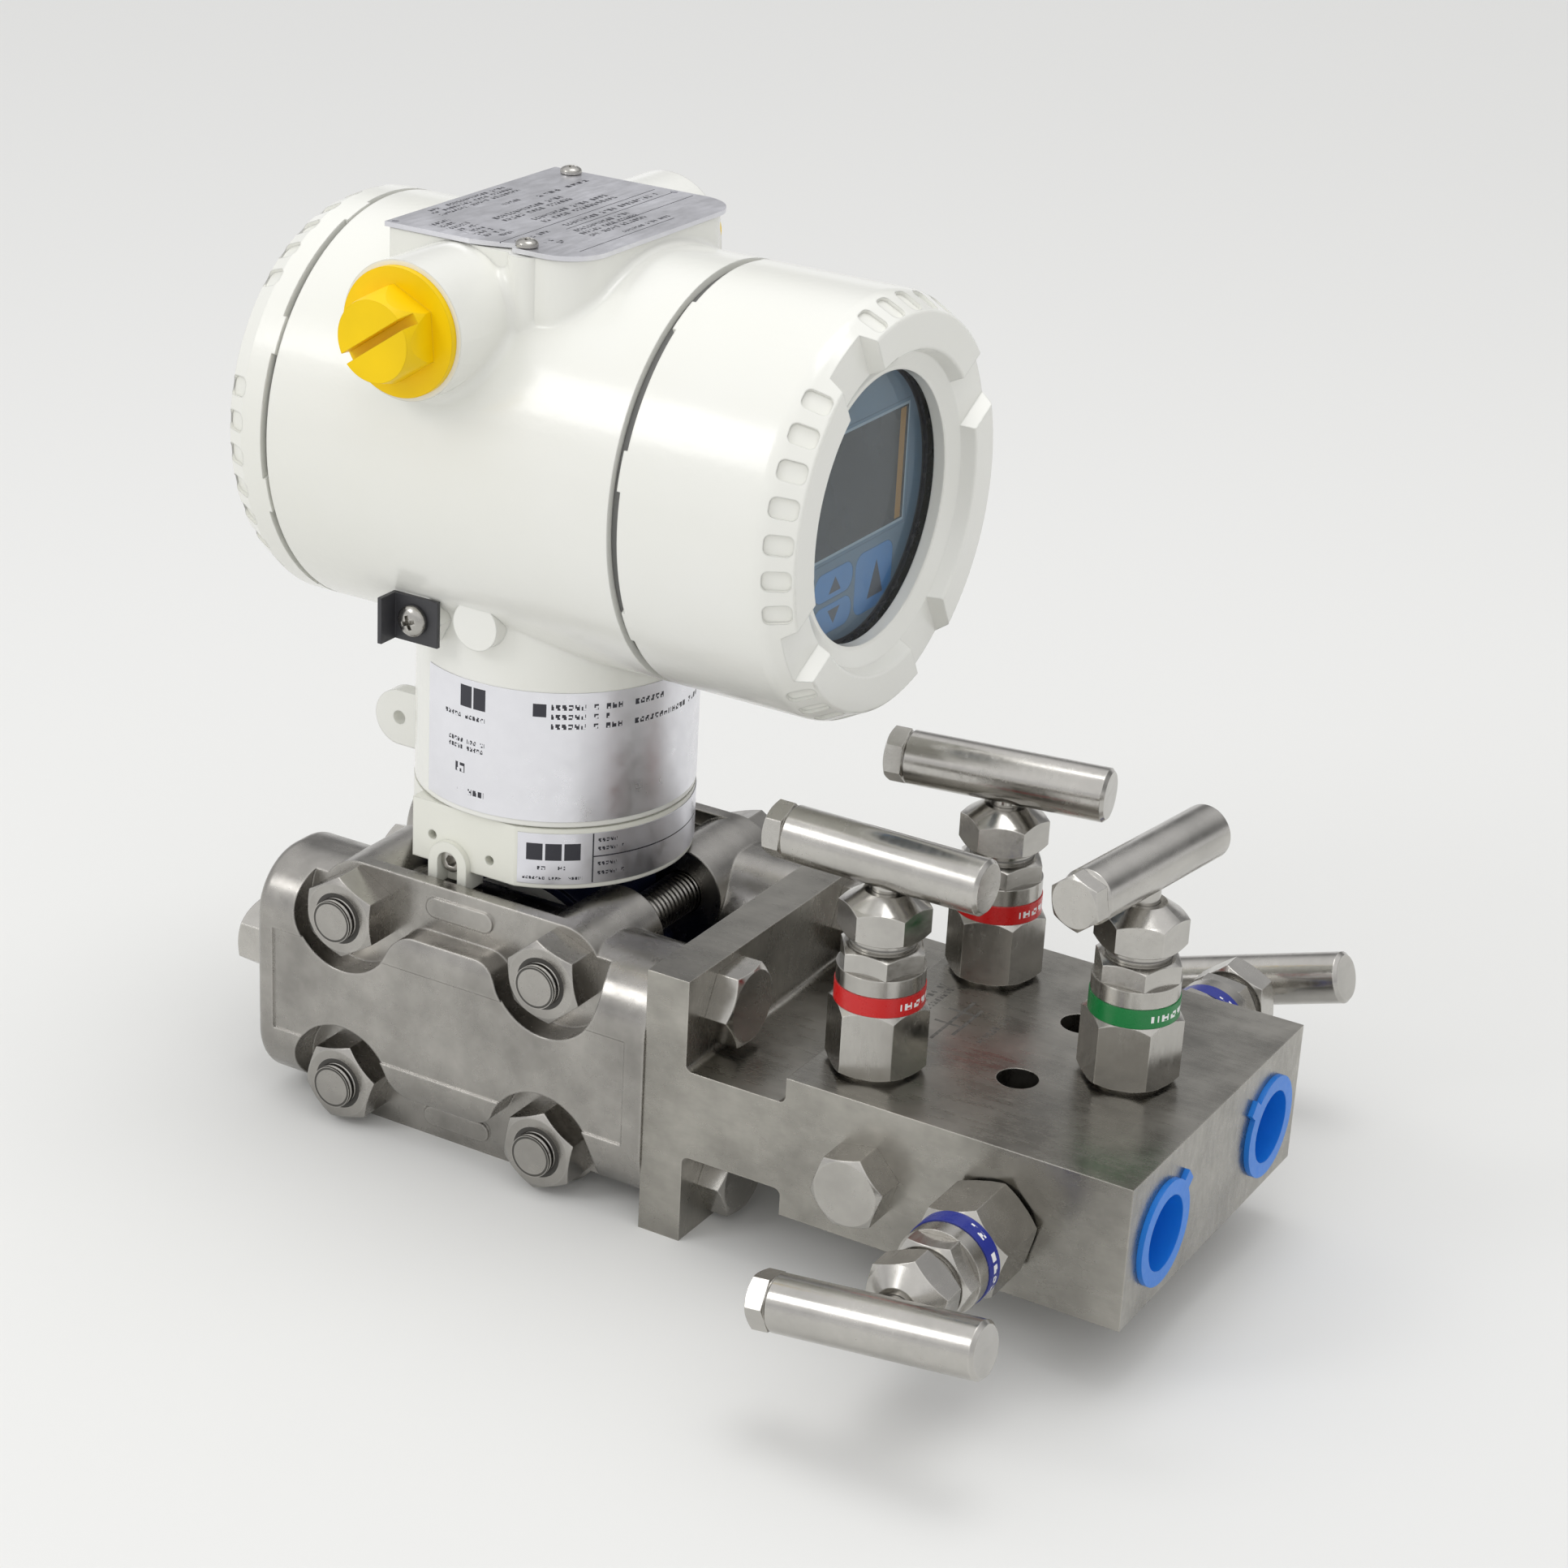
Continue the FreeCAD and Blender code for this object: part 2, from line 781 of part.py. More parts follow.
def gland_nut():
    corner = d.gland_flats / math.sqrt(3)
    rim = d.gland_flats / 2
    hex_top = d.gland_start + d.gland_hex
    top = hex_top + d.gland_cone
    neck = stem_way + d.band_wall * 2
    outline = [
        (0, d.gland_start), (rim, d.gland_start), (corner, d.gland_start + d.collar_height),
        (corner, hex_top - d.collar_height), (rim, hex_top), (neck, top), (0, top),
    ]
    height = d.gland_hex + d.gland_cone
    foot = (0, 0, d.gland_start)
    blank = hexagon("gland_blank", d.gland_flats, height, foot, turn=TURNS["gland"])
    hexed = common("gland_hex", (blank, lathe("gland_turning", outline)))
    tapped = d.thread_diameter / 2 + d.fit
    thread = cylinder("gland_thread", tapped, d.thread_top - d.gland_start, foot)
    way = cylinder("gland_way", stem_way, height, foot)
    return cut("gland_piece", hexed, (thread, way))


def packing():
    low = d.thread_top - d.packing_height
    return washer("packing_piece", d.packing_diameter / 2 - d.fit, stem_way, low, d.thread_top)


def valve_tip():
    """The tip that closes the seat. It slides and doesn't turn."""
    radius = d.tip_diameter / 2
    low = d.fit - d.cavity_depth
    seat = d.seat_bore / 2
    top = -d.stem_start
    return lathe("tip_piece", [(0, low), (seat, low), (radius, low + seat), (radius, top), (0, top)])


def valve_stem():
    top = d.bar_rise + d.bar_socket
    return cylinder("stem_piece", d.stem_diameter / 2, top + d.stem_start, (0, 0, -d.stem_start))


def valve_handle():
    """A T bar pinned to the stem by the screw in its end."""
    radius = d.bar_diameter / 2
    half = d.bar_length / 2
    edge = radius - d.bar_edge
    points = [(0, -half), (edge, -half), (radius, d.bar_edge - half)]
    points += [(radius, half - d.bar_edge), (edge, half), (0, half)]
    bar = lathe("bar_blank", points, (0, 0, d.bar_rise), "+x")
    grip = d.stem_diameter / 2 + d.fit
    socket = cylinder("bar_way", grip, radius + d.bar_socket, (0, 0, d.bar_rise - radius))
    inner = (grip, 0, d.bar_rise)
    tapped = d.bar_screw_thread / 2 + d.fit
    screw_way = cylinder("bar_screw_way", tapped, half - grip, inner, "+x")
    end = (half, 0, d.bar_rise)
    turn = TURNS["bar_screw"]
    head = hex_head("bar_screw_top", d.bar_screw_flats, d.bar_screw_head, end, "+x", turn)
    shank = cylinder("bar_screw_shank", d.bar_screw_thread / 2, half - grip, inner, "+x")
    bored = cut("bar_piece", bar, (socket, screw_way))
    return group("handle_piece", (bored, fuse("bar_screw", (head, shank))))


def valves():
    shared = {
        "valve_bonnets": (bonnet(), tuple(VALVES)),
        "stem_packings": (packing(), tuple(VALVES)),
        "lock_nuts": (lock_nut(), tuple(VALVES)),
        "gland_nuts": (gland_nut(), tuple(VALVES)),
    }
    band = valve_band()
    shared["vent_bands"] = (band, ("vent_high", "vent_low"))
    shared["isolate_bands"] = (band, ("isolate_high", "isolate_low"))
    shared["equalize_band"] = (band, ("equalize",))
    for name, (piece, users) in shared.items():
        copies = []
        for user in users:
            along, at, _, _ = VALVES[user]
            copies.append(again("%s_%s" % (name, user), piece, at, ALONG[along]))
        node(name, group(name + "_set", copies))
    moving = {"tip": valve_tip(), "stem": valve_stem(), "handle": valve_handle()}
    outward = {"+z": (0, 0, 1), "-y": (0, -1, 0), "+y": (0, 1, 0)}
    for user, (along, at, turn, lift) in VALVES.items():
        raised = [a + lift * way for a, way in zip(at, outward[along])]
        for kind, piece in moving.items():
            name = "%s_%s" % (user, kind)
            copy = again(name + "_copy", piece, raised, turned_by(turn, along))
            node(name, group(name + "_set", [copy]))


# Process flanges with their studs, nuts, seals and drain plugs.


def nut_pockets():
    """The openings around the nuts, joined over the middle by a flat with rounded ends."""
    depth = d.flange_face - d.ear_face
    over = d.flange_height
    tools = []
    for name, sign in (("low", -1), ("top", 1)):
        z = port_z + d.bolt_rise / 2 * sign
        rounds = [
            cylinder("pocket_%s_%d" % (name, i), d.pocket_radius, depth, (x, -d.ear_face, z), "-y")
            for i, x in enumerate(stud_xs)
        ]
        inner = port_z + d.pocket_rise * sign
        outer = inner + over * sign
        heights = (inner, outer) if sign > 0 else (outer, inner)
        flat = box("pocket_flat_" + name, stud_xs, (-d.flange_face, -d.ear_face), heights)
        blank = fuse("pocket_blank_" + name, rounds + [flat])

        def inside_corner(edge, inner=inner):
            return runs_along(edge, (0, 1, 0)) and near(middle(edge).z, inner)

        tools.append(rounded("pocket_" + name, blank, d.pocket_blend, inside_corner))
    return tools


def flange_blank():
    side = (-d.flange_face, -d.flange_back)
    heights = (port_z - d.flange_height / 2, port_z + d.flange_height / 2)
    plain = box("flange_bar", (flange_end_x, joint_x), side, heights)
    bar = rounded("flange_rounded", plain, d.flange_round, lambda edge: runs_along(edge, (1, 0, 0)))

    def far_end(edge):
        return all(near(v.X, flange_end_x) for v in edge.Vertexes)

    bar = rounded("flange_ended", bar, d.flange_edge, far_end)
    bar = cut("flange_pocketed", bar, nut_pockets())
    low = stud_zs[0] - ear_radius
    top = stud_zs[1] + ear_radius
    pieces = [bar, box("ear_plate", stud_xs, (-d.ear_face, d.ear_web - d.ear_face), (low, top))]
    for i, x in enumerate(stud_xs):
        for j, z in enumerate(stud_zs):
            depth = d.ear_face - d.flange_back
            pieces.append(cylinder("ear_%d_%d" % (i, j), ear_radius, depth, (x, -d.flange_back, z), "-y"))
    half = (d.cast_pad_length - d.cast_pad_height) / 2
    for name, sign in (("low", -1), ("top", 1)):
        z = port_z + d.cast_pad_rise * sign
        tall = d.cast_pad_height / 2
        face = (-d.ear_face - d.cast_pad_lift, -d.ear_face)
        pieces.append(box("cast_pad_" + name, (axis_x - half, axis_x + half), face, (z - tall, z + tall)))
        for end, x in (("left", axis_x - half), ("right", axis_x + half)):
            spot = (x, -d.ear_face, z)
            pieces.append(cylinder("cast_pad_%s_%s" % (name, end), tall, d.cast_pad_lift, spot, "-y"))
    return fuse("flange_cast", pieces)


def flange():
    half = d.panel_height / 2
    panel = box(
        "flange_panel",
        (flange_end_x + d.panel_margin, joint_x - d.panel_margin),
        (-d.flange_face, d.panel_step - d.flange_face),
        (port_z - half, port_z + half),
    )
    tools = [panel]
    for i, x in enumerate(stud_xs):
        for j, z in enumerate(stud_zs):
            way = "stud_way_%d_%d" % (i, j)
            tools.append(cylinder(way, d.stud_way / 2, d.flange_face, (x, 0, z), "-y"))
    tapped = d.bolt_diameter / 2 + d.fit
    for i, z in enumerate(stud_zs):
        mouth = (joint_x, -port_y, z)
        tools.append(cylinder("tapped_%d" % i, tapped, d.bolt_reach + d.fit, mouth, "-x"))
    joint = (joint_x, -port_y, port_z)
    tools.append(cylinder("port_seal_seat", d.seal_outer / 2, d.seal_height, joint, "-x"))
    tools.append(cylinder("port_way", d.flow_way / 2, d.sensor_axis, joint, "-x"))
    far = (flange_end_x, -port_y, port_z)
    drain_tapped = d.drain_thread / 2 + d.fit
    tools.append(cylinder("drain_way", drain_tapped, d.plug_reach + d.fit, far, "+x"))
    length = d.flange_length - d.sensor_axis
    tools.append(cylinder("drain_flow", d.flow_bore / 2, length, far, "+x"))
    back = (axis_x, -d.flange_back, port_z)
    tools.append(cylinder("chamber", d.chamber_radius, d.chamber_depth, back, "-y"))
    tools.append(cylinder("chamber_way", d.flow_bore / 2, port_y - d.flange_back, back, "-y"))
    return cut("flange_drilled", flange_blank(), tools)


def flange_hardware():
    studs = []
    nuts = []
    nut_blank = hex_head("nut_blank", d.nut_flats, d.nut_height, turn=TURNS["nut"])
    nut_bore = cylinder("nut_bore", d.stud_diameter / 2 + d.fit, d.nut_height)
    nut = cut("nut_piece", nut_blank, [nut_bore])
    for i, x in enumerate(stud_xs):
        for j, z in enumerate(stud_zs):
            end = (x, -d.stud_end, z)
            name = "stud_%d_%d" % (i, j)
            studs.append(cylinder(name, d.stud_diameter / 2, d.stud_end * 2, end, "+y"))
            turn = TURNS["nut_step"] * (i + 2 * j)
            for side, y in (("-y", -d.ear_face), ("+y", d.ear_face)):
                nuts.append(again("nut_copy", nut, (x, y, z), turned_by(turn, side)))
    node("flange_studs", group("all_studs", studs))
    node("flange_nuts", group("all_nuts", nuts))
    at = (flange_end_x, -port_y, port_z)
    turn = TURNS["drain"]
    drain = threaded_plug("drain_plug", d.drain_flats, d.drain_head, d.drain_thread, at, "-x", turn)
    node("drain_plugs", pair("drain_plug", drain))
    seat = (joint_x, -port_y, port_z)
    seal = washer("port_seal", d.seal_outer / 2 - d.fit, d.seal_inner / 2, 0, d.seal_height, seat, "-x")
    node("port_seals", pair("port_seal", seal))


# Sensor capsule and clamp ring.


def sensor_body():
    face = d.flange_back
    seal_low = face - d.face_seal_depth
    sheet_low = face - d.diaphragm_sheet
    recess = d.diaphragm_radius + d.fit
    half = [(0, sheet_low), (recess, sheet_low), (recess, face)]
    half += [(d.face_seal_inner, face), (d.face_seal_inner, seal_low)]
    half += [(d.face_seal_outer, seal_low), (d.face_seal_outer, face), (d.sensor_radius, face)]
    other = [(radius, -height) for radius, height in reversed(half)]
    capsule = lathe("capsule", half + other, (axis_x, 0, port_z), "+y")
    collar_low = d.plate_height + d.collar_clearance
    collar_top = level_z + d.ring_bottom
    slim = d.sensor_neck
    root_side = (-seal_low, seal_low)
    root = box("capsule_root", (axis_x - slim, axis_x + slim), root_side, (port_z, collar_low))
    foot = (axis_x, 0, collar_low)
    collar = cylinder("capsule_collar", d.collar_radius, collar_top - collar_low, foot)
    neck = cylinder("capsule_neck", slim, level_z + d.sensor_top - collar_low, foot)
    return fuse("capsule_whole", (capsule, root, collar, neck))


def sensor_trim():
    back = (axis_x, -d.flange_back, port_z)
    sheet_disc = cylinder("diaphragm", d.diaphragm_radius, d.diaphragm_sheet, back, "+y")
    node("diaphragms", pair("diaphragm", sheet_disc))
    outer = d.face_seal_outer - d.fit
    inner = d.face_seal_inner + d.fit
    seal = washer("face_seal", outer, inner, 0, d.face_seal_depth, back, "+y")
    node("flange_seals", pair("face_seal", seal))


def ring_spot():
    return (axis_x - d.arch_place, -d.ring_face, level_z + d.arch_rise)


def neck_ring():
    low = level_z + d.ring_bottom
    top = level_z + d.ring_top
    tall = top - low
    left = axis_x - d.ring_face_left
    drum = cylinder("ring_drum", d.ring_radius, tall, (axis_x, 0, low))
    front = (-d.ring_radius * 2, -d.ring_face)
    shave = box("ring_shave", (left, axis_x + d.ring_radius), front, (low, top))
    shaved = cut("ring_shaved", drum, [shave])
    block = box("ring_block", (left, axis_x), (-d.ring_face, -d.sensor_neck), (low, top))
    x, y, z = ring_spot()
    leg = level_z + d.arch_leg
    depth = d.ring_face - d.sensor_neck
    out = (x, y - d.arch_lift, z)
    arch = cylinder("arch_round", d.arch_radius, depth, out, "+y")
    legs = box("arch_legs", (x - d.arch_radius, x + d.arch_radius), (y - d.arch_lift, y + depth), (leg, z))
    whole = fuse("ring_whole", (shaved, block, arch, legs))
    open_half = d.set_screw / 2 + d.fit
    slot = (y - d.arch_lift, y - d.arch_lift + d.arch_slot_depth)
    tools = [
        box("arch_under", (left, axis_x), (y - d.arch_lift, 0), (0, leg)),
        box("arch_slot", (x - open_half, x + open_half), slot, (leg, z)),
        cylinder("ring_bore", d.sensor_neck + d.fit, d.sensor_top, (axis_x, 0, level_z)),
        cylinder("ring_collar_bore", d.collar_radius + d.fit, d.ring_bottom, (axis_x, 0, level_z)),
        cylinder("set_screw_way", d.set_screw / 2 + d.fit, d.ring_radius, out, "+y"),
    ]
    pins = ((-d.arch_radius, d.arch_radius), (d.arch_radius * 2, d.arch_lift * 2))
    for i, (shift, rise) in enumerate(pins):
        spot = (x + shift, y, z + rise)
        tools.append(cylinder("ring_pin_way_%d" % i, d.pin_hole / 2, d.arch_radius, spot, "+y"))
    return cut("ring_drilled", whole, tools)


def set_screw():
    x, y, z = ring_spot()
    start = (x, y, z)
    blank = cylinder("set_screw_blank", d.set_screw / 2, d.set_screw_length, start, "+y")
    socket = hexagon("set_screw_socket", d.set_screw_socket, d.set_screw_socket, start, "+y")
    return cut("set_screw_piece", blank, [socket])


def curved_label(name, radius, low, high, start, end):
    """A foil label wrapped round a cylinder that stands on the sensor's axis."""
    outer = doc.addObject("Part::Cylinder", name + "_outer")
    bind(outer, "Radius", radius + d.label_sheet)
    bind(outer, "Height", high - low)
    outer.Angle = end - start
    place(outer, (axis_x, 0, low), turned_by(start))
    inner = cylinder(name + "_inner", radius + d.fit, high - low, (axis_x, 0, low))
    return cut(name + "_foil", outer, [inner])


# Housing.


def rounded_plate(name, inset, length, low):
    """The nameplate's outline, with its two right corners rounded."""
    half = d.name_width / 2 - inset
    left = axis_x - d.name_left + inset
    right = axis_x + d.name_right - inset
    plate = box(name + "_sheet", (left, right), (-half, half), (low, low + length))

    def right_corner(edge):
        return runs_along(edge, (0, 0, 1)) and near(middle(edge).x, right)

    return rounded(name, plate, d.name_round, right_corner)


def button_spots():
    return {
        "zero_button": (axis_x - d.button_pitch, size(0)),
        "span_button": (axis_x, size(0)),
        "lock_button": (axis_x + d.button_pitch, size(0)),
    }


def name_screw_spots():
    pivot = (axis_x - d.pivot_place, d.name_screw_across)
    clamp = (axis_x + d.clamp_place, -d.name_screw_across)
    return {"pivot": pivot, "clamp": clamp}


def housing_blank():
    neck = cylinder("housing_neck", d.neck_radius, barrel_z - neck_z, (axis_x, 0, neck_z))
    length = d.barrel_front + d.barrel_rear
    barrel = cylinder("housing_barrel", d.barrel_radius, length, (rear_x, 0, barrel_z), "+x")
    joined = fuse("housing_core", (neck, barrel))

    def neck_seam(edge):
        return not isinstance(edge.Curve, (Part.Line, Part.Circle))

    core = rounded("housing_blended", joined, d.neck_blend, neck_seam)
    conduit_x, conduit_z = conduit_at
    boss_at = (conduit_x, -d.conduit_reach, conduit_z)
    lug_z = level_z + d.lug_rise
    lug_x = axis_x - d.lug_reach
    lug_y = (-d.lug_place - d.lug_thickness / 2, -d.lug_place + d.lug_thickness / 2)
    earth = (axis_x - d.earth_place, 0, barrel_low + d.earth_lift)
    boss = (axis_x + d.boss_place, 0, barrel_low + d.boss_lift)
    pad_low = conduit_z - d.conduit_radius
    upper = fuse("housing_upper", (
        core,
        cylinder("conduit_bosses", d.conduit_radius, d.conduit_reach * 2, boss_at, "+y"),
        rounded_plate("housing_pad", d.name_edge, pad_z - pad_low, pad_low),
        cylinder("clamp_boss", d.clamp_boss, pad_z - pad_low, (*name_screw_spots()["clamp"], pad_low)),
    ))

    def upper_seam(edge):
        return neck_seam(edge) and middle(edge).z > barrel_z.value

    return fuse("housing_cast", (
        rounded("housing_softened", upper, d.seam_blend, upper_seam),
        box("lug_arm", (lug_x, axis_x), lug_y, (lug_z - d.lug_radius, lug_z + d.lug_radius)),
        cylinder("lug_end", d.lug_radius, d.lug_thickness, (lug_x, lug_y[0], lug_z), "+y"),
        hexagon("earth_boss", d.earth_flats, d.earth_reach, earth, "-y"),
        cylinder("round_boss", d.boss_radius, d.boss_reach, boss, "-y"),
    ))


def housing_body():
    conduit_x, conduit_z = conduit_at
    thread = d.cover_thread + d.thread_relief
    partition_x = rear_x + d.rear_cavity
    front_start = partition_x + d.partition
    lug_at = (axis_x - d.lug_reach, 0, level_z + d.lug_rise)
    earth = (axis_x - d.earth_place, -d.earth_reach, barrel_low + d.earth_lift)
    way_x = axis_x + d.wire_way_place
    neck_top = level_z + d.sensor_top + d.running_fit
    front = (front_x, 0, barrel_z)
    rear = (rear_x, 0, barrel_z)
    inside = (front_start, 0, barrel_z)
    foot = (axis_x, 0, neck_z)
    boss_at = (conduit_x, -d.conduit_reach, conduit_z)
    tapped = d.earth_screw / 2 + d.fit
    tools = [
        cylinder("front_thread", d.thread_radius, thread, front, "-x"),
        cylinder("rear_thread", d.thread_radius, thread, rear, "+x"),
        cylinder("front_cavity", d.cavity_radius, front_x - front_start, inside, "+x"),
        cylinder("rear_cavity", d.cavity_radius, d.rear_cavity, rear, "+x"),
        cylinder("neck_bore", d.sensor_neck + d.running_fit, neck_top - neck_z, foot),
        cylinder("wire_way", d.wire_way / 2, barrel_z - neck_top, (way_x, 0, neck_top)),
        cylinder("conduit_way", d.conduit_bore / 2, d.conduit_reach * 2, boss_at, "+y"),
        cylinder("lug_way", d.lug_hole / 2, d.lug_place * 2, lug_at, "-y"),
        cylinder("earth_way", tapped, d.earth_screw_reach + d.fit, earth, "+y"),
    ]
    well = d.button_length + d.button_travel + d.button_clearance
    for name, (x, y) in button_spots().items():
        radius = d.button_diameter / 2 + d.running_fit
        tools.append(cylinder(name + "_well", radius, well, (x, y, pad_z), "-z"))
    for name, (x, y) in name_screw_spots().items():
        radius = d.name_screw / 2 + d.fit
        tools.append(cylinder(name + "_way", radius, d.name_screw_reach, (x, y, pad_z), "-z"))
    hollow = cut("housing_hollow", housing_blank(), tools)
    posts = []
    for i, angle in enumerate(quarter_angles(POSTS_AT)):
        y = d.post_circle * math.cos(math.radians(angle))
        z = barrel_z + d.post_circle * math.sin(math.radians(angle))
        foot = (front_start, y, z)
        posts.append(cylinder("post_%d" % i, d.post_radius, d.post_length, foot, "+x"))
    return fuse("housing_whole", [hollow] + posts)


# Covers. Both are drawn standing on the housing's end face and then laid along the barrel.


def grip_angles():
    """Pockets in equal steps, in the middle between each two gaps of the raised ring."""
    steps = [GRIP_PITCH * i for i in range(-GRIPS_EACH_WAY, GRIPS_EACH_WAY + 1)]
    return [middle_angle + step for middle_angle in quarter_angles(RIDGES_AT) for step in steps]


def grips(name, top, slope, lean):
    """The round-cornered finger pockets, sunk square into the sloping shoulder of the rim."""
    half = d.grip_width / 2
    long = d.grip_length / 2
    block = box(name + "_block", (-d.grip_depth, d.cut_over), (-half, half), (-long, long))

    def corner(edge):
        return runs_along(edge, (1, 0, 0))

    soft = rounded(name + "_soft", block, d.grip_round, corner)
    tilt = Rotation(Vector(0, 1, 0), -math.degrees(math.atan2(lean.value, slope.value)))
    at = (d.barrel_radius - lean / 2, 0, top - slope / 2)
    pocket = group(name + "_pocket", [again(name + "_tilted", soft, at, tilt)])
    return around(name, pocket, grip_angles())


def steps(name, low):
    """The shallow steps in the edge next to the housing, with a narrow land between each two."""
    inner = d.thread_radius + d.step_inset
    outer = d.barrel_radius + d.cut_over
    half = d.step_width / 2
    ring = washer(name + "_ring", outer, inner, low, low + d.step_depth)
    reach = (inner - d.cut_over, outer + d.cut_over)
    land = box(name + "_land", reach, (-half, half), (low, low + d.step_depth))
    lands = around(name + "_lands", land, quarter_angles(RIDGE_GAPS_AT) + quarter_angles(RIDGES_AT))
    return cut(name, ring, [lands])


def turned_edge(radius, height):
    """A test for the circle at that radius and height of a piece that stands on its own Z axis."""

    def wanted(edge):
        if not isinstance(edge.Curve, Part.Circle):
            return False
        return near(edge.Curve.Radius, radius) and near(edge.Curve.Center.z, height)

    return wanted


def front_cover():
    rim = d.barrel_radius
    spigot = d.thread_radius - d.cover_fit
    top = d.cover_front
    seat_top = top - d.window_lip
    seat_low = seat_top - d.glass_thickness - d.retainer_height
    floor = top + d.face_rise
    crest = floor + d.ridge_height
    shoulder = crest - d.rim_slope
    crest_inner = d.ridge_inner + d.ridge_lean
    turned = lathe("front_cover_turned", [
        (d.cover_bore, -d.cover_thread), (spigot, -d.cover_thread), (spigot, d.cover_gap),
        (rim, d.cover_gap), (rim, shoulder), (d.ridge_outer, crest), (crest_inner, crest),
        (d.ridge_inner, floor), (d.window_radius + d.lip_width, top), (d.window_radius, top),
        (d.window_radius, seat_top), (d.glass_radius, seat_top), (d.glass_radius, seat_low),
        (d.cover_bore, seat_low),
    ])
    softer = rounded("front_cover_shoulder", turned, d.shoulder_round, turned_edge(rim, shoulder))
    outer_edge = rounded("front_cover_crest", softer, d.ridge_edge, turned_edge(d.ridge_outer, crest))
    blank = rounded("front_cover_blank", outer_edge, d.ridge_edge, turned_edge(crest_inner, crest))
    half = d.ridge_gap / 2
    wide = half + d.ridge_slope
    high = d.ridge_height + d.cut_over
    wider = half + d.ridge_slope / d.ridge_height * high
    outline = [(-half, 0), (half, 0), (wider, high), (-wider, high)]
    upright = Rotation(Vector(1, 1, 1), 120)
    gap = slab("ridge_gap_piece", outline, rim + d.cut_over, (0, 0, floor), upright)
    gaps = around("ridge_gaps", gap, quarter_angles(RIDGE_GAPS_AT))
    pockets = grips("front_grip", crest, d.rim_slope, rim - d.ridge_outer)
    cover = cut("front_cover_cut", blank, (gaps, pockets, steps("front_step", d.cover_gap)))
    return place(cover, (front_x, 0, barrel_z), ALONG["+x"])


def rear_cover():
    rim = d.barrel_radius
    spigot = d.thread_radius - d.cover_fit
    top = d.cover_rear
    floor = top - d.rear_face
    shoulder = top - d.rear_slope
    turned = lathe("rear_cover_turned", [
        (0, floor), (d.cover_bore, floor), (d.cover_bore, -d.cover_thread),
        (spigot, -d.cover_thread), (spigot, d.rear_gap), (rim, d.rear_gap),
        (rim, shoulder), (rim - d.rear_lean, top), (0, top),
    ])
    blank = rounded("rear_cover_blank", turned, d.cover_edge, turned_edge(rim - d.rear_lean, top))
    pockets = grips("rear_grip", top, d.rear_slope, d.rear_lean)
    cover = cut("rear_cover_cut", blank, (pockets, steps("rear_step", d.rear_gap)))
    return place(cover, (rear_x, 0, barrel_z), ALONG["-x"])


def cover_trim():
    spigot = d.thread_radius - d.cover_fit
    inner = spigot + d.fit
    outer = inner + d.cover_seal_width
    at = (front_x, 0, barrel_z)
    front_seal = washer("front_seal", outer, inner, d.seal_squeeze, d.cover_gap, at, "+x")
    node("front_cover_seal", front_seal)
    rear_at = (rear_x, 0, barrel_z)
    rear_seal = washer("rear_seal", outer, inner, d.seal_squeeze, d.rear_gap, rear_at, "-x")
    node("rear_cover_seal", rear_seal)
    glass_top = d.cover_front - d.window_lip
    glass_low = glass_top - d.glass_thickness
    glass_at = (front_x + glass_low, 0, barrel_z)
    glass = cylinder("glass_disc", d.glass_radius - d.fit, d.glass_thickness, glass_at, "+x")
    node("window_glass", glass)
    low = glass_low - d.retainer_height
    ring = washer("retainer_ring", d.glass_radius - d.fit, d.retainer_inner, low, glass_low, at, "+x")
    node("window_retainer", ring)


# Inside the housing.


def display_front():
    return front_x + d.cover_front - d.window_lip - d.glass_thickness - d.display_gap


def board_front():
    return rear_x + d.rear_cavity + d.partition + d.post_length + d.board_thickness


def electronics_board():
    at = (board_front() - d.board_thickness, 0, barrel_z)
    return cylinder("board_disc", d.board_radius, d.board_thickness, at, "+x")


def screen_box(name, depth, growth):
    half = d.screen_width / 2 + growth
    middle_z = barrel_z + d.screen_rise
    tall = d.screen_height / 2 + growth
    front = display_front()
    return box(name, (front - depth, front), (-half, half), (middle_z - tall, middle_z + tall))


def display_module():
    front = display_front()
    back = front - d.display_depth
    drum = cylinder("display_drum", d.display_radius, d.display_depth, (back, 0, barrel_z), "+x")
    legs = []
    for i, angle in enumerate(quarter_angles(POSTS_AT)):
        y = d.leg_circle * math.cos(math.radians(angle))
        z = barrel_z + d.leg_circle * math.sin(math.radians(angle))
        foot = (board_front(), y, z)
        legs.append(cylinder("leg_%d" % i, d.leg_radius, back - board_front(), foot, "+x"))
    whole = fuse("display_whole", [drum] + legs)
    screen_pocket = screen_box("screen_pocket", d.screen_depth, d.fit)
    return cut("display_cut", whole, [screen_pocket] + key_boxes("key_pocket", d.fit))


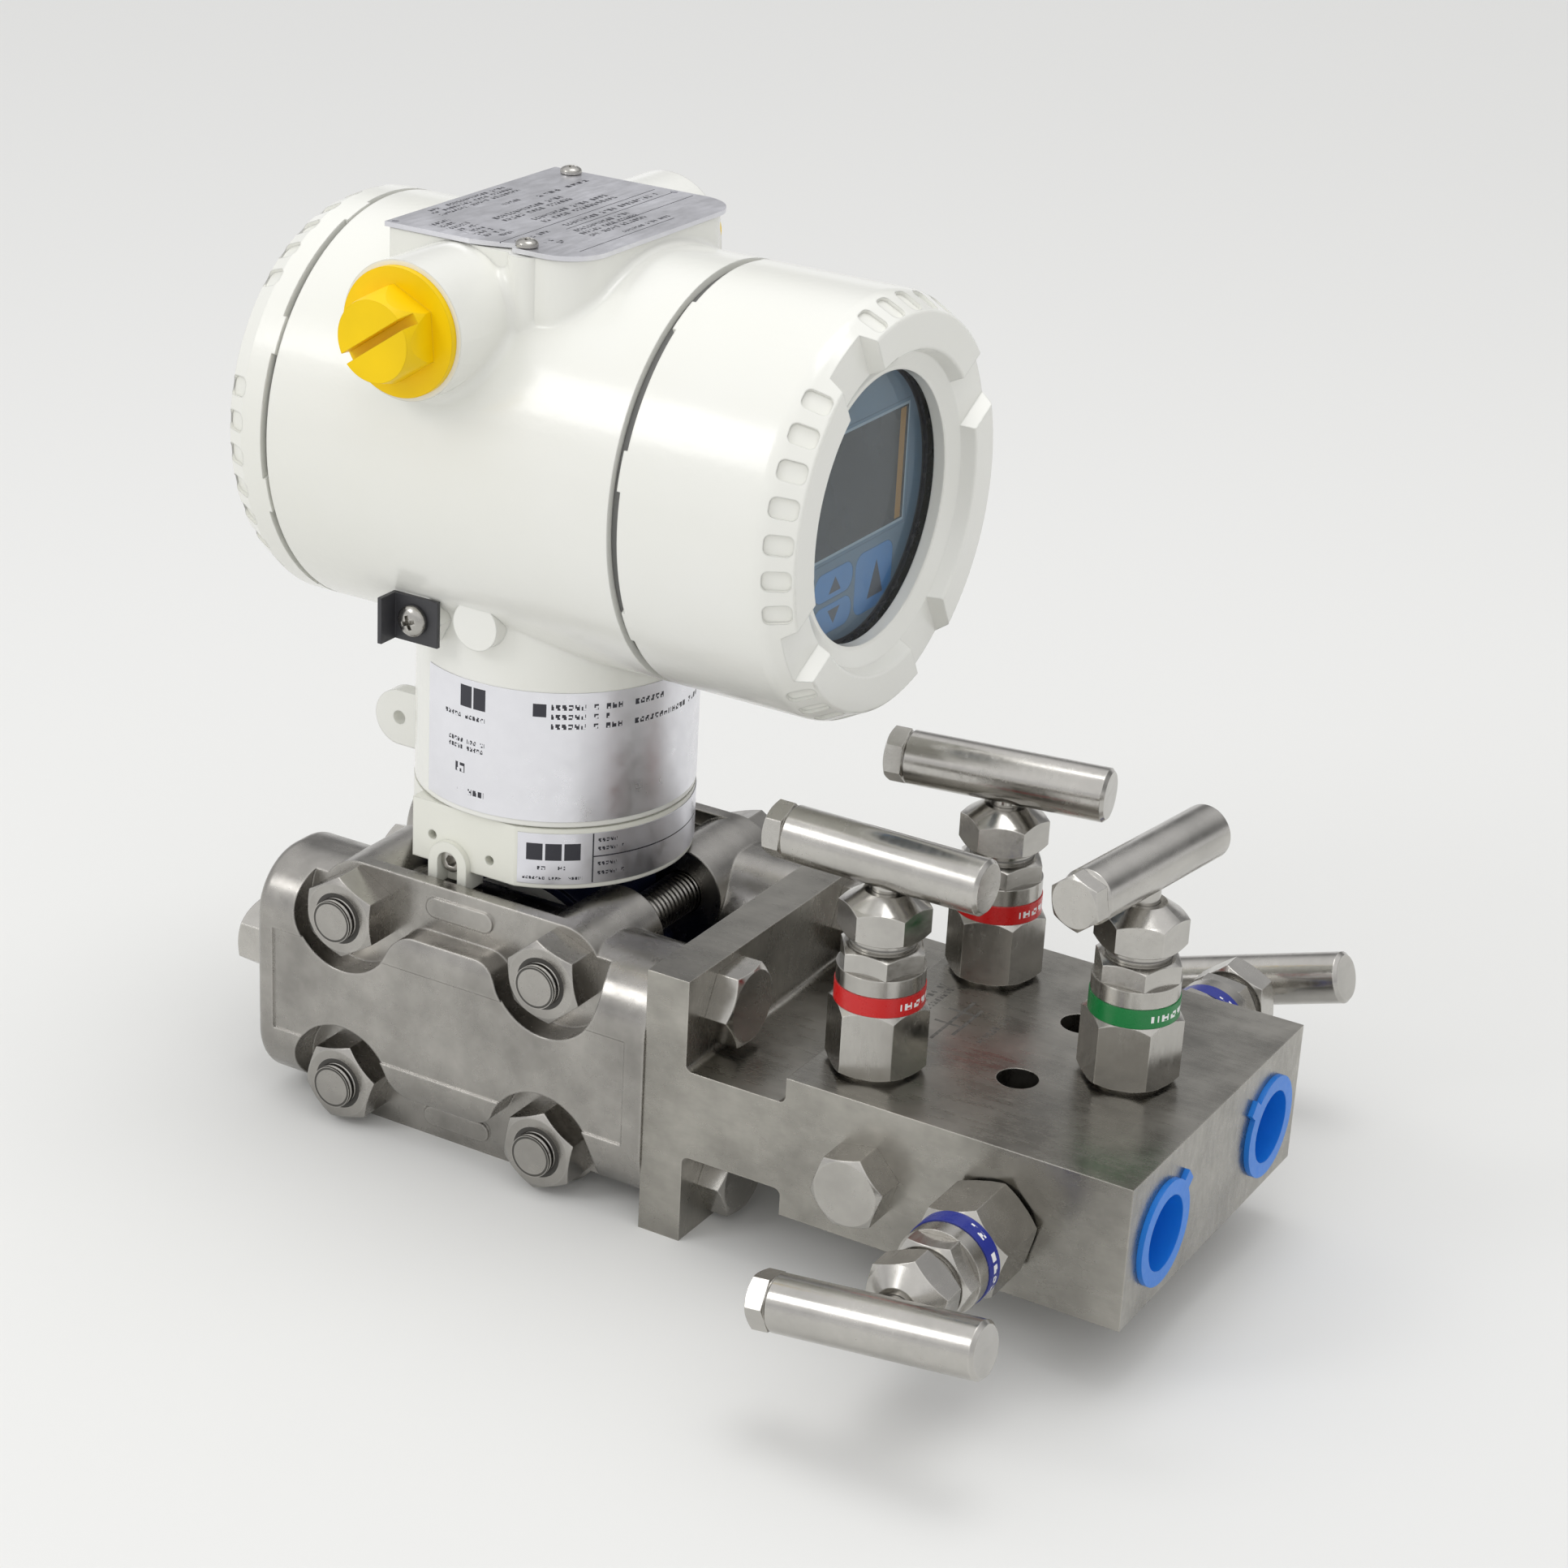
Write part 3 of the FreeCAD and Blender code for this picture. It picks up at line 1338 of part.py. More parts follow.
def key_boxes(name, growth):
    """Two small keys one above the other, and a tall one beside them."""
    top = barrel_z - d.key_top
    low = top - d.key_height
    middle_y = d.key_shift
    half_space = d.key_space / 2
    half_way = top - d.key_height / 2
    left = (middle_y - half_space - d.key_width, middle_y - half_space)
    right = (middle_y + half_space, middle_y + half_space + d.key_width)
    depth = (display_front() - d.screen_depth, display_front())
    spots = {
        "up": (left, (half_way + half_space, top)),
        "down": (left, (low, half_way - half_space)),
        "enter": (right, (low, top)),
    }

    def corner(edge):
        return runs_along(edge, (1, 0, 0))

    keys = []
    for key, (y, z) in spots.items():
        wide = (y[0] - growth, y[1] + growth)
        tall = (z[0] - growth, z[1] + growth)
        plain = box("%s_%s_plain" % (name, key), depth, wide, tall)
        soft = rounded("%s_%s_soft" % (name, key), plain, d.key_round + growth, corner)
        rim = d.display_radius - d.key_space + growth
        face = cylinder("%s_%s_face" % (name, key), rim, d.screen_depth, (depth[0], 0, barrel_z), "+x")
        keys.append(common("%s_%s" % (name, key), (soft, face)))
    return keys


def terminal_spots():
    return [d.terminal_pitch * i for i in (-1, 0, 1)]


def terminal_block():
    seat = rear_x + d.rear_cavity
    face = seat - d.terminal_depth
    half = d.terminal_width / 2
    tall = d.terminal_height / 2
    block = box("terminal_blank", (face, seat), (-half, half), (barrel_z - tall, barrel_z + tall))
    ways = []
    screws = []
    thread = d.terminal_thread / 2
    for i, y in enumerate(terminal_spots()):
        at = (face, y, barrel_z)
        ways.append(cylinder("terminal_way_%d" % i, thread + d.fit, tall, at, "+x"))
        head = cylinder("terminal_head_%d" % i, d.terminal_head / 2, d.terminal_head_height, at, "-x")
        shank = cylinder("terminal_shank_%d" % i, thread, d.terminal_depth / 2, at, "+x")
        screws.append(fuse("terminal_screw_%d" % i, (head, shank)))
    node("terminal_block", cut("terminal_drilled", block, ways))
    node("terminal_screws", group("all_terminal_screws", screws))


# Outside trim.


def nameplate():
    low = pad_z + d.name_gap
    plate = rounded_plate("name_sheet_round", 0, d.name_sheet, low)
    pivot_x, pivot_y = name_screw_spots()["pivot"]
    clamp_x, clamp_y = name_screw_spots()["clamp"]
    across = clamp_x - pivot_x
    back = clamp_y - pivot_y
    reach = root(across * across + back * back)
    start = math.degrees(math.atan2(back.value, across.value))
    half = d.name_slot / 2
    pivot_at = (pivot_x, pivot_y, low)
    slot_round = cylinder("name_slot_round", half, d.name_sheet, (clamp_x, clamp_y, low))
    sector = cylinder("name_slot_sector", reach + half, d.name_sheet, pivot_at)
    sector.Angle = NAME_SWING
    place(sector, pivot_at, turned_by(start - NAME_SWING))
    core = cylinder("name_slot_core", reach - half, d.name_sheet, pivot_at)
    slot = cut("name_slot_way", sector, [core])
    pivot = cylinder("name_pivot_way", d.name_screw / 2 + d.running_fit, d.name_sheet, pivot_at)
    edge = d.name_edge * 2
    left = (axis_x - d.name_left + edge, edge - d.name_width / 2)
    right = (axis_x + d.clamp_place - edge, d.name_width / 2 - edge)
    holes = []
    for i, (x, y) in enumerate((left, right)):
        holes.append(cylinder("name_hole_%d" % i, d.name_edge, d.name_sheet, (x, y, low)))
    return cut("name_plate_cut", plate, [slot_round, slot, pivot] + holes)


def nameplate_screws():
    screws = []
    top = pad_z + d.name_gap + d.name_sheet + d.running_fit
    for name, (x, y) in name_screw_spots().items():
        reach = top - pad_z + d.name_screw_reach - d.fit
        head = cylinder(name + "_head", d.name_head / 2, d.name_head_height, (x, y, top))
        shank = cylinder(name + "_shank", d.name_screw / 2, reach, (x, y, top), "-z")
        screws.append(fuse(name + "_screw", (head, shank)))
    return group("both_nameplate_screws", screws)


def conduit_plug():
    rim = d.plug_flange / 2
    x, z = conduit_at
    shank = d.conduit_bore / 2 - d.fit
    base = lathe("plug_base", [
        (0, -d.plug_shank), (shank, -d.plug_shank), (shank, 0),
        (rim, 0), (rim, d.plug_rim), (0, d.plug_rim),
    ])
    corner = d.plug_flats / math.sqrt(3)
    taper = lathe("plug_taper", [
        (0, 0), (corner, 0), (corner, d.plug_rim * 2),
        (corner - d.plug_rim, d.plug_head), (0, d.plug_head),
    ])
    head = common("plug_hex", (hexagon("plug_hex_blank", d.plug_flats, d.plug_head), taper))
    half = d.plug_slot / 2
    low = d.plug_head - d.plug_slot_depth
    slot = box("plug_slot", (-corner, corner), (-half, half), (low, d.plug_head))
    plug = cut("plug_piece", fuse("plug_whole", (base, head)), [slot])
    return place(plug, (x, -d.conduit_reach, z), turned_by(TURNS["conduit_plug"], "-y"))


def earth_terminal():
    x = axis_x - d.earth_place
    z = barrel_low + d.earth_lift
    y = -d.earth_reach
    half = d.bracket_width / 2
    tall = d.bracket_height / 2
    outer = y - d.bracket_sheet
    sheet_plate = box("bracket_sheet_plate", (x - half, x + half), (outer, y), (z - tall, z + tall))
    lip_y = (outer - d.bracket_lip, y)
    lip = box("bracket_lip_plate", (x - half, x - half + d.bracket_sheet), lip_y, (z - tall, z + tall))
    way = cylinder("bracket_way", d.earth_screw / 2 + d.fit, d.bracket_sheet, (x, y, z), "-y")
    node("earth_bracket", cut("bracket_piece", fuse("bracket_folded", (sheet_plate, lip)), [way]))
    head = cylinder("earth_screw_top", d.earth_head / 2, d.earth_head_height, (x, outer, z), "-y")
    reach = d.bracket_sheet + d.earth_screw_reach
    shank = cylinder("earth_screw_shank", d.earth_screw / 2, reach, (x, outer, z), "+y")
    node("earth_screw", fuse("earth_screw_piece", (head, shank)))


def build():
    node("manifold_body", manifold_body())
    node("manifold_bolts", manifold_bolts())
    node("test_plugs", test_plugs())
    node("port_caps", group("both_port_caps", (port_cap("high", -1), port_cap("low", 1))))
    valves()
    high_flange = node("high_flange", flange())
    node("low_flange", mirrored("flange_mirrored", high_flange))
    flange_hardware()
    node("sensor_body", sensor_body())
    sensor_trim()
    node("neck_ring", neck_ring())
    node("ring_set_screw", set_screw())
    ring = (level_z + d.ring_bottom + d.ring_label_margin, level_z + d.ring_top - d.ring_label_margin)
    node("ring_label", curved_label("tag", d.ring_radius, *ring, *RING_LABEL_ARC))
    node("housing_body", housing_body())
    neck = (level_z + d.label_bottom, level_z + d.label_top)
    node("neck_label", curved_label("data", d.neck_radius, *neck, *NECK_LABEL_ARC))
    node("front_cover", front_cover())
    node("rear_cover", rear_cover())
    cover_trim()
    node("electronics_board", electronics_board())
    node("display_module", display_module())
    node("display_screen", screen_box("screen_pane", d.screen_depth, 0))
    node("display_keys", group("all_keys", key_boxes("key", 0)))
    terminal_block()
    node("nameplate", nameplate())
    node("nameplate_screws", nameplate_screws())
    for name, (x, y) in button_spots().items():
        top = (x, y, pad_z - d.button_clearance / 2)
        node(name, cylinder(name + "_piece", d.button_diameter / 2, d.button_length, top, "-z"))
    node("conduit_plugs", pair("conduit_plug", conduit_plug()))
    earth_terminal()


build()
doc.recompute()

faults = [thing.Name for thing in doc.Objects if {"Invalid", "Error"} & set(thing.State)]
for name, thing in NODES.items():
    if thing.Label != name:
        faults.append("label of " + name)
    if thing.Shape.isNull() or not thing.Shape.isValid() or not thing.Shape.Solids:
        faults.append("shape of " + name)
if faults:
    raise RuntimeError("not built: " + ", ".join(faults))

os.makedirs("parts", exist_ok=True)
for name, thing in NODES.items():
    thing.Shape.exportStep("parts/%s.step" % name)
print(len(NODES), "sub-parts written")
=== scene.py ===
import json
import math

import bmesh
import bpy
from mathutils import Matrix, Vector


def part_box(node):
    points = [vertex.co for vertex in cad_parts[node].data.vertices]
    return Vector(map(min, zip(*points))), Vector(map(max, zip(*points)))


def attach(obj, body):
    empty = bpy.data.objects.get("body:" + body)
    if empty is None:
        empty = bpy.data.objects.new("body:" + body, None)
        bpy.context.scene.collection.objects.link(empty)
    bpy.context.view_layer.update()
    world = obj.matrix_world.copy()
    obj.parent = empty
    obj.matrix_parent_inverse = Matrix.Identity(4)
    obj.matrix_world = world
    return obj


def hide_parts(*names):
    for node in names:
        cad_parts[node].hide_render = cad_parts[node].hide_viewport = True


# A differential pressure transmitter on its valve manifold: materials, small details, light and camera.
# Everything is in metres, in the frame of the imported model.

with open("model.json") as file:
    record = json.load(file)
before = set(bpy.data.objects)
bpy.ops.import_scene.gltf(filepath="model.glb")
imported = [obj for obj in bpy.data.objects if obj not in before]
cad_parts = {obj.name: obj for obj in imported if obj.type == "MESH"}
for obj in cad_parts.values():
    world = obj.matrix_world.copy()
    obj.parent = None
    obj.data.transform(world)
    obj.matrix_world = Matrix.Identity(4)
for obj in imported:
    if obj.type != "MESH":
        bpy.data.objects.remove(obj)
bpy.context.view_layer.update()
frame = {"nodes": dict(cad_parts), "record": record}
nodes = frame["nodes"]
MM = 0.001


# Material graphs.


class Graph:
    """A node material under construction around one Principled shader."""

    def __init__(self, name, color, roughness, metallic=0.0):
        self.material = bpy.data.materials.new(name)
        self.material.use_nodes = True
        self.tree = self.material.node_tree
        self.shader = self.tree.nodes["Principled BSDF"]
        self.shader.inputs["Base Color"].default_value = (*color, 1)
        self.shader.inputs["Roughness"].default_value = roughness
        self.shader.inputs["Metallic"].default_value = metallic
        self.spot = self.add("ShaderNodeTexCoord").outputs["Object"]

    def add(self, kind, **values):
        made = self.tree.nodes.new(kind)
        for key, value in values.items():
            setattr(made, key, value)
        return made

    def link(self, start, end):
        self.tree.links.new(start, end)

    def set(self, **values):
        for key, value in values.items():
            self.shader.inputs[key.replace("_", " ")].default_value = value
        return self

    def feed(self, socket, value):
        if isinstance(value, bpy.types.NodeSocket):
            self.link(value, socket)
        else:
            socket.default_value = value

    def math(self, operation, a, b=0.0, c=0.0):
        made = self.add("ShaderNodeMath", operation=operation)
        for socket, value in zip(made.inputs, (a, b, c)):
            self.feed(socket, value)
        return made.outputs[0]

    def axes(self):
        made = self.add("ShaderNodeSeparateXYZ")
        self.link(self.spot, made.inputs[0])
        return made.outputs

    def stretched(self, scale, spot=None):
        made = self.add("ShaderNodeMapping")
        self.link(spot or self.spot, made.inputs["Vector"])
        made.inputs["Scale"].default_value = scale
        return made.outputs[0]

    def noise(self, scale, detail=3.0, rough=0.5, spot=None):
        made = self.add("ShaderNodeTexNoise")
        self.link(spot or self.spot, made.inputs["Vector"])
        made.inputs["Scale"].default_value = scale
        made.inputs["Detail"].default_value = detail
        made.inputs["Roughness"].default_value = rough
        return made.outputs["Fac"]

    def spread(self, value, low, high, start=0.3, end=0.7):
        """Maps a factor between start and end onto low to high."""
        made = self.add("ShaderNodeMapRange")
        self.link(value, made.inputs["Value"])
        for key, number in (("From Min", start), ("From Max", end), ("To Min", low), ("To Max", high)):
            made.inputs[key].default_value = number
        return made.outputs[0]

    def blend(self, factor, a, b):
        made = self.add("ShaderNodeMix", data_type="RGBA")
        self.feed(made.inputs[0], factor)
        for socket, value in ((made.inputs[6], a), (made.inputs[7], b)):
            if isinstance(value, tuple):
                value = (*value, 1)
            self.feed(socket, value)
        return made.outputs[2]

    def bump(self, height, strength, distance, normal=None):
        made = self.add("ShaderNodeBump")
        made.inputs["Strength"].default_value = strength
        made.inputs["Distance"].default_value = distance
        self.link(height, made.inputs["Height"])
        if normal:
            self.link(normal, made.inputs["Normal"])
        return made.outputs[0]

    def soft_edge(self, radius, samples=4):
        """The slightly rounded look of every real edge."""
        made = self.add("ShaderNodeBevel")
        made.samples = samples
        made.inputs["Radius"].default_value = radius
        return made.outputs[0]

    def within(self, value, low, high):
        """1 between the two values, 0 outside."""
        return self.math("COMPARE", value, (low + high) / 2, (high - low) / 2)

    def past(self, value, start):
        return self.math("SUBTRACT", value, start)

    def length(self, a, b):
        """The distance from the axis, from two coordinates across it."""
        squares = [self.math("MULTIPLY", side, side) for side in (a, b)]
        return self.math("SQRT", self.math("ADD", *squares))

    def angle(self, a, b):
        """The angle about the axis in degrees, from the first coordinate towards the second."""
        return self.math("MULTIPLY", self.math("ARCTAN2", b, a), 180 / math.pi)

    def both(self, *factors):
        made = factors[0]
        for factor in factors[1:]:
            made = self.math("MULTIPLY", made, factor)
        return made

    def either(self, *factors):
        made = factors[0]
        for factor in factors[1:]:
            made = self.math("MAXIMUM", made, factor)
        return made

    def patch(self, u, v, across, along):
        """A filled rectangle, in the same unit as u and v."""
        return self.both(self.within(u, *across), self.within(v, *along))

    def dashes(self, u, v, across, along, rows, letter):
        """Rows of short uneven dashes, as fine print looks from afar. They spell nothing."""
        pitch = (along[1] - along[0]) / rows
        row = self.math("DIVIDE", self.math("SUBTRACT", v, along[0]), pitch)
        line = self.within(self.math("FRACT", row), 0.18, 0.80)
        cell = self.math("DIVIDE", u, letter)
        mark = self.within(self.math("FRACT", cell), 0.08, 0.80)
        noise = self.add("ShaderNodeTexWhiteNoise", noise_dimensions="2D")
        place = self.add("ShaderNodeCombineXYZ")
        self.link(self.math("FLOOR", cell), place.inputs[0])
        self.link(self.math("FLOOR", row), place.inputs[1])
        self.link(place.outputs[0], noise.inputs["Vector"])
        kept = self.math("GREATER_THAN", noise.outputs["Value"], 0.17)
        notch = self.add("ShaderNodeTexWhiteNoise", noise_dimensions="2D")
        fine = self.add("ShaderNodeCombineXYZ")
        self.link(self.math("FLOOR", self.math("DIVIDE", u, letter / 3)), fine.inputs[0])
        self.link(self.math("FLOOR", self.math("MULTIPLY", row, 5.0)), fine.inputs[1])
        self.link(fine.outputs[0], notch.inputs["Vector"])
        broken = self.math("GREATER_THAN", notch.outputs["Value"], 0.30)
        return self.both(self.patch(u, v, across, along), line, mark, kept, broken)

    def ink(self, factor, color, roughness=0.45):
        """Lays a colour over what the shader has, where the factor is 1."""
        socket = self.shader.inputs["Base Color"]
        under = socket.links[0].from_socket if socket.links else tuple(socket.default_value[:3])
        self.color(self.blend(factor, under, color))
        socket = self.shader.inputs["Roughness"]
        under = socket.links[0].from_socket if socket.links else socket.default_value
        mix = self.add("ShaderNodeMix", data_type="FLOAT")
        self.link(factor, mix.inputs[0])
        self.feed(mix.inputs[2], under)
        mix.inputs[3].default_value = roughness
        self.rough(mix.outputs[0])
        socket = self.shader.inputs["Metallic"]
        if socket.default_value > 0.5 and not socket.links:
            self.link(self.math("SUBTRACT", 1.0, factor), socket)
        return self

    def color(self, value):
        self.feed(self.shader.inputs["Base Color"], value)
        return self

    def rough(self, value):
        self.feed(self.shader.inputs["Roughness"], value)
        return self

    def normal(self, value):
        self.link(value, self.shader.inputs["Normal"])
        return self


def edge_highlight_mask(graph, width):
    """A factor that is high along outer edges, where a highlight is painted."""
    edge = graph.add("ShaderNodeBevel")
    edge.samples = 4
    edge.inputs["Radius"].default_value = width
    flat = graph.add("ShaderNodeNewGeometry").outputs["Normal"]
    dot = graph.add("ShaderNodeVectorMath", operation="DOT_PRODUCT")
    graph.link(edge.outputs[0], dot.inputs[0])
    graph.link(flat, dot.inputs[1])
    return graph.spread(graph.math("SUBTRACT", 1.0, dot.outputs["Value"]), 0.0, 1.0, 0.01, 0.12)


def steel(name, color, roughness, grain=(1, 1, 1), grain_scale=900.0, depth=0.5, blotch=0.12,
          edge=0.3 * MM, edge_highlight=0.0, streaks=0.14):
    """Bare stainless steel: fine grain in one direction, faint blotches, soft edges and a painted highlight
    along outer edges.
    """
    graph = Graph(name, color, roughness, 1.0)
    lines = graph.noise(grain_scale, 4.0, 0.65, graph.stretched(grain))
    clouds = graph.noise(55.0, 4.0, 0.6)
    dark = tuple(c * (1 - blotch * 2) for c in color)
    light = tuple(min(1.0, c * (1 + blotch)) for c in color)
    grooved = tuple(c * 0.62 for c in color)
    highlight_tone = tuple(min(1.0, c * 1.7) for c in color)
    tone = graph.blend(graph.spread(clouds, 0.0, 1.0), dark, light)
    tone = graph.blend(graph.spread(lines, 0.0, streaks), tone, grooved)
    # Painted highlight: the colour lightens along outer edges.
    if edge_highlight:
        tone = graph.blend(graph.math("MULTIPLY", edge_highlight_mask(graph, edge * 2), edge_highlight), tone, highlight_tone)
    graph.color(tone)
    patchy = graph.spread(clouds, roughness - 0.05, roughness + 0.07)
    graph.rough(graph.math("ADD", graph.spread(lines, -0.06, 0.08), patchy))
    graph.normal(graph.bump(lines, depth, 0.12 * MM, graph.soft_edge(edge)))
    return graph


def paint(name, color, roughness=0.3):
    """Smooth gloss paint over a casting, with a faint orange peel."""
    graph = Graph(name, color, roughness)
    clouds = graph.noise(18.0, 3.0)
    tint = tuple(c * f for c, f in zip(color, (0.965, 0.965, 0.94)))
    graph.color(graph.blend(graph.spread(clouds, 0.0, 1.0), color, tint))
    peel = graph.noise(520.0, 2.0, 0.4)
    graph.rough(graph.spread(clouds, roughness - 0.03, roughness + 0.05))
    graph.normal(graph.bump(peel, 0.12, 0.3 * MM, graph.soft_edge(0.5 * MM)))
    graph.set(Coat_Weight=0.35, Coat_Roughness=0.12, Specular_IOR_Level=0.5)
    return graph


def plastic(name, color, roughness, texture=700.0, depth=0.12):
    """Moulded plastic or rubber: a fine grain and slight changes of tone."""
    graph = Graph(name, color, roughness)
    fine = graph.noise(texture, 3.0)
    dull = tuple(c * 0.88 for c in color)
    graph.color(graph.blend(graph.spread(graph.noise(60.0, 3.0), 0.0, 1.0), color, dull))
    graph.rough(graph.spread(fine, roughness - 0.04, roughness + 0.06))
    graph.normal(graph.bump(fine, depth, 0.2 * MM, graph.soft_edge(0.3 * MM)))
    return graph


def printed(graph, u, v, unit, rows, blocks):
    """A factor for rows of dashes and for filled blocks.

    A row is its reach across, its reach along, its number of lines and its letter width. A block is its
    two reaches. Across, the numbers are in the given unit, and along they are in millimetres.
    """
    marks = []
    for (start, end), (low, high), lines, letter in rows:
        across, along = (start * unit, end * unit), (low * MM, high * MM)
        marks.append(graph.dashes(u, v, across, along, lines, letter * unit))
    for (start, end), (low, high) in blocks:
        marks.append(graph.patch(u, v, (start * unit, end * unit), (low * MM, high * MM)))
    return graph.either(*marks)


DEGREES = 1.0
NECK_X = -58.15 * MM
BARREL_Z = 158 * MM
FLANGE_Z = 31.2 * MM
STUD_SPREAD = (27 * MM, 20.65 * MM)
BLOCK_TOP = (47.0 * MM, 48.0 * MM)
PLATE_TOP = (206.7 * MM, 207.2 * MM)
INK = (0.03, 0.03, 0.04)
FOIL_FACE = (0.12, 0.20, 0.29)


def manifold_look():
    """Ground bar stock with its grain along the block, and a plain flow sketch etched between the vents."""
    graph = steel("manifold_look", (0.41, 0.395, 0.36), 0.27, grain=(0.16, 1.0, 0.45), grain_scale=620.0,
                  depth=0.22, blotch=0.16, edge_highlight=0.3, streaks=0.3)
    x, y, z = graph.axes()
    top = graph.within(z, *BLOCK_TOP)
    rows = (((-6, 8), (53.6, 56.2), 1, 1.5), ((-2, 14), (34.5, 39.5), 2, 1.5))
    lines = (((-10, 10.5), (45.0, 45.8)), ((-2.1, -1.3), (42.0, 48.6)),
             ((4.4, 5.2), (42.0, 48.6)), ((-6, 8), (48.2, 49.0)))
    faded = graph.spread(graph.noise(900.0), 0.5, 0.95)
    graph.ink(graph.both(top, printed(graph, y, x, MM, rows, lines), faded), (0.045, 0.043, 0.04), 0.5)
    # A trace of green marking ink near the corner.
    distance = graph.length(graph.past(x, 101 * MM), graph.past(y, -38.5 * MM))
    grainy = graph.spread(graph.noise(260.0, 4.0), 0.0, 1.0, 0.45, 0.6)
    fading = graph.spread(distance, 0.30, 0.0, 0.0, 7 * MM)
    return graph.ink(graph.both(top, fading, grainy), (0.02, 0.16, 0.04), 0.4)


def vent_band(name, color, start, end, center_x, center_y):
    """A printed band round an upright valve, with a row of plain white marks."""
    graph = plastic(name, color, 0.28, 500.0, 0.05)
    x, y, z = graph.axes()
    middle = graph.math("MULTIPLY", graph.math("SIGN", y), center_y)
    turn = graph.angle(graph.past(x, center_x), graph.math("SUBTRACT", y, middle))
    marks = graph.dashes(turn, z, (start, end), (64.0 * MM, 66.4 * MM), 1, 15.0)
    return graph.ink(marks, (0.86, 0.86, 0.86), 0.35)


def isolate_band():
    """The same on the two valves that lie crosswise."""
    graph = plastic("blue_band_look", (0.012, 0.025, 0.27), 0.28, 500.0, 0.05)
    x, y, z = graph.axes()
    turn = graph.angle(graph.past(x, 79.05 * MM), graph.past(z, 30.2 * MM))
    out = graph.math("ABSOLUTE", y)
    marks = graph.dashes(turn, out, (-60.0, 70.0), (59.9 * MM, 62.2 * MM), 1, 15.0)
    return graph.ink(marks, (0.86, 0.86, 0.86), 0.35)


def nameplate_look():
    """Satin sheet metal, printed with fine uneven rows and thin rules."""
    graph = steel("plate_look", (0.78, 0.78, 0.82), 0.36, grain=(1, 0.2, 1), depth=0.05, blotch=0.04,
                  edge=0.1 * MM, streaks=0.06)
    x, y, z = graph.axes()
    rows = (
        ((-20, 9), (-82.0, -76.4), 3, 1.25), ((-28, -21), (-75.0, -57.5), 8, 1.2),
        ((-15, 10), (-68.4, -63.6), 2, 1.5), ((-10, 18), (-62.0, -57.2), 2, 1.5),
        ((-4, 2), (-73.6, -71.6), 1, 1.2), ((6, 26), (-72.0, -70.0), 1, 2.2),
        ((-27, -15), (-54.4, -52.0), 1, 1.3), ((-10, 26), (-54.4, -52.0), 1, 1.4),
        ((-24, -20), (-50.0, -45.2), 2, 1.3), ((-13, 8), (-50.2, -43.4), 3, 1.2),
        ((-6, 12), (-42.0, -40.3), 1, 1.0),
    )
    half = 0.13
    rules = ((-55.6, (-30, 29)), (-51.2, (-12, 30)), (-46.4, (-4, 30)), (-39.3, (-25, 11)))
    blocks = [(reach, (place - half, place + half)) for place, reach in rules]
    marks = printed(graph, y, x, MM, rows, blocks)
    return graph.ink(graph.both(graph.within(z, *PLATE_TOP), marks), INK, 0.5)


def label_look(name, color, rows, blocks):
    """Silver foil round the neck, printed in degrees about the neck's axis and in height."""
    graph = steel(name, color, 0.33, grain_scale=300.0, depth=0.004, blotch=0.03, edge=0.1 * MM, streaks=0.02)
    x, y, z = graph.axes()
    turn = graph.angle(graph.past(x, NECK_X), y)
    return graph.ink(printed(graph, turn, z, DEGREES, rows, blocks), INK, 0.45)


def neck_label_look():
    rows = (
        ((-59, -10), (106.3, 108.4), 1, 2.5), ((-59, -36), (104.2, 106.1), 1, 2.5),
        ((-59, 18), (101.9, 103.9), 1, 2.5), ((-108, -86), (101.2, 102.8), 1, 1.8),
        ((-104, -86), (93.8, 97.0), 2, 1.6), ((-100, -91), (88.0, 91.5), 1, 3.5),
        ((-99, -86), (83.4, 85.6), 1, 2.4),
    )
    blocks = (((-66.2, -60.9), (105.0, 108.0)), ((-97.8, -92.2), (104.2, 109.2)),
              ((-91.4, -85.8), (104.2, 109.2)))
    return label_look("neck_foil_look", (0.86, 0.86, 0.90), rows, blocks)


def ring_label_look():
    rows = (
        ((-63, -52), (68.9, 70.3), 1, 2.2), ((-69, -45), (66.6, 67.7), 1, 1.3),
        ((-39.4, -30), (75.2, 76.6), 1, 1.7), ((-39.4, -28), (73.2, 74.6), 1, 1.7),
        ((-39.4, -31), (69.6, 71.0), 1, 1.7), ((-39.4, -27), (67.4, 68.8), 1, 1.7),
    )
    blocks = (((-67.5, -61.0), (71.4, 75.4)), ((-60.0, -53.5), (71.4, 75.4)), ((-52.5, -46.0), (71.4, 75.4)),
              ((-41.3, -40.7), (65.9, 77.6)), ((-40.8, 38.0), (71.95, 72.25)))
    return label_look("ring_foil_look", (0.82, 0.82, 0.87), rows, blocks)


def display_look():
    """Pale blue-grey front foil on a dark housing."""
    graph = plastic("display_look", (0.014, 0.018, 0.035), 0.35)
    x, y, z = graph.axes()
    front = graph.math("GREATER_THAN", x, 11.3 * MM)
    inside = graph.math("LESS_THAN", graph.length(y, graph.past(z, BARREL_Z)), 29.2 * MM)
    graph.set(Specular_IOR_Level=0.2)
    return graph.ink(graph.both(front, inside), FOIL_FACE, 0.30)


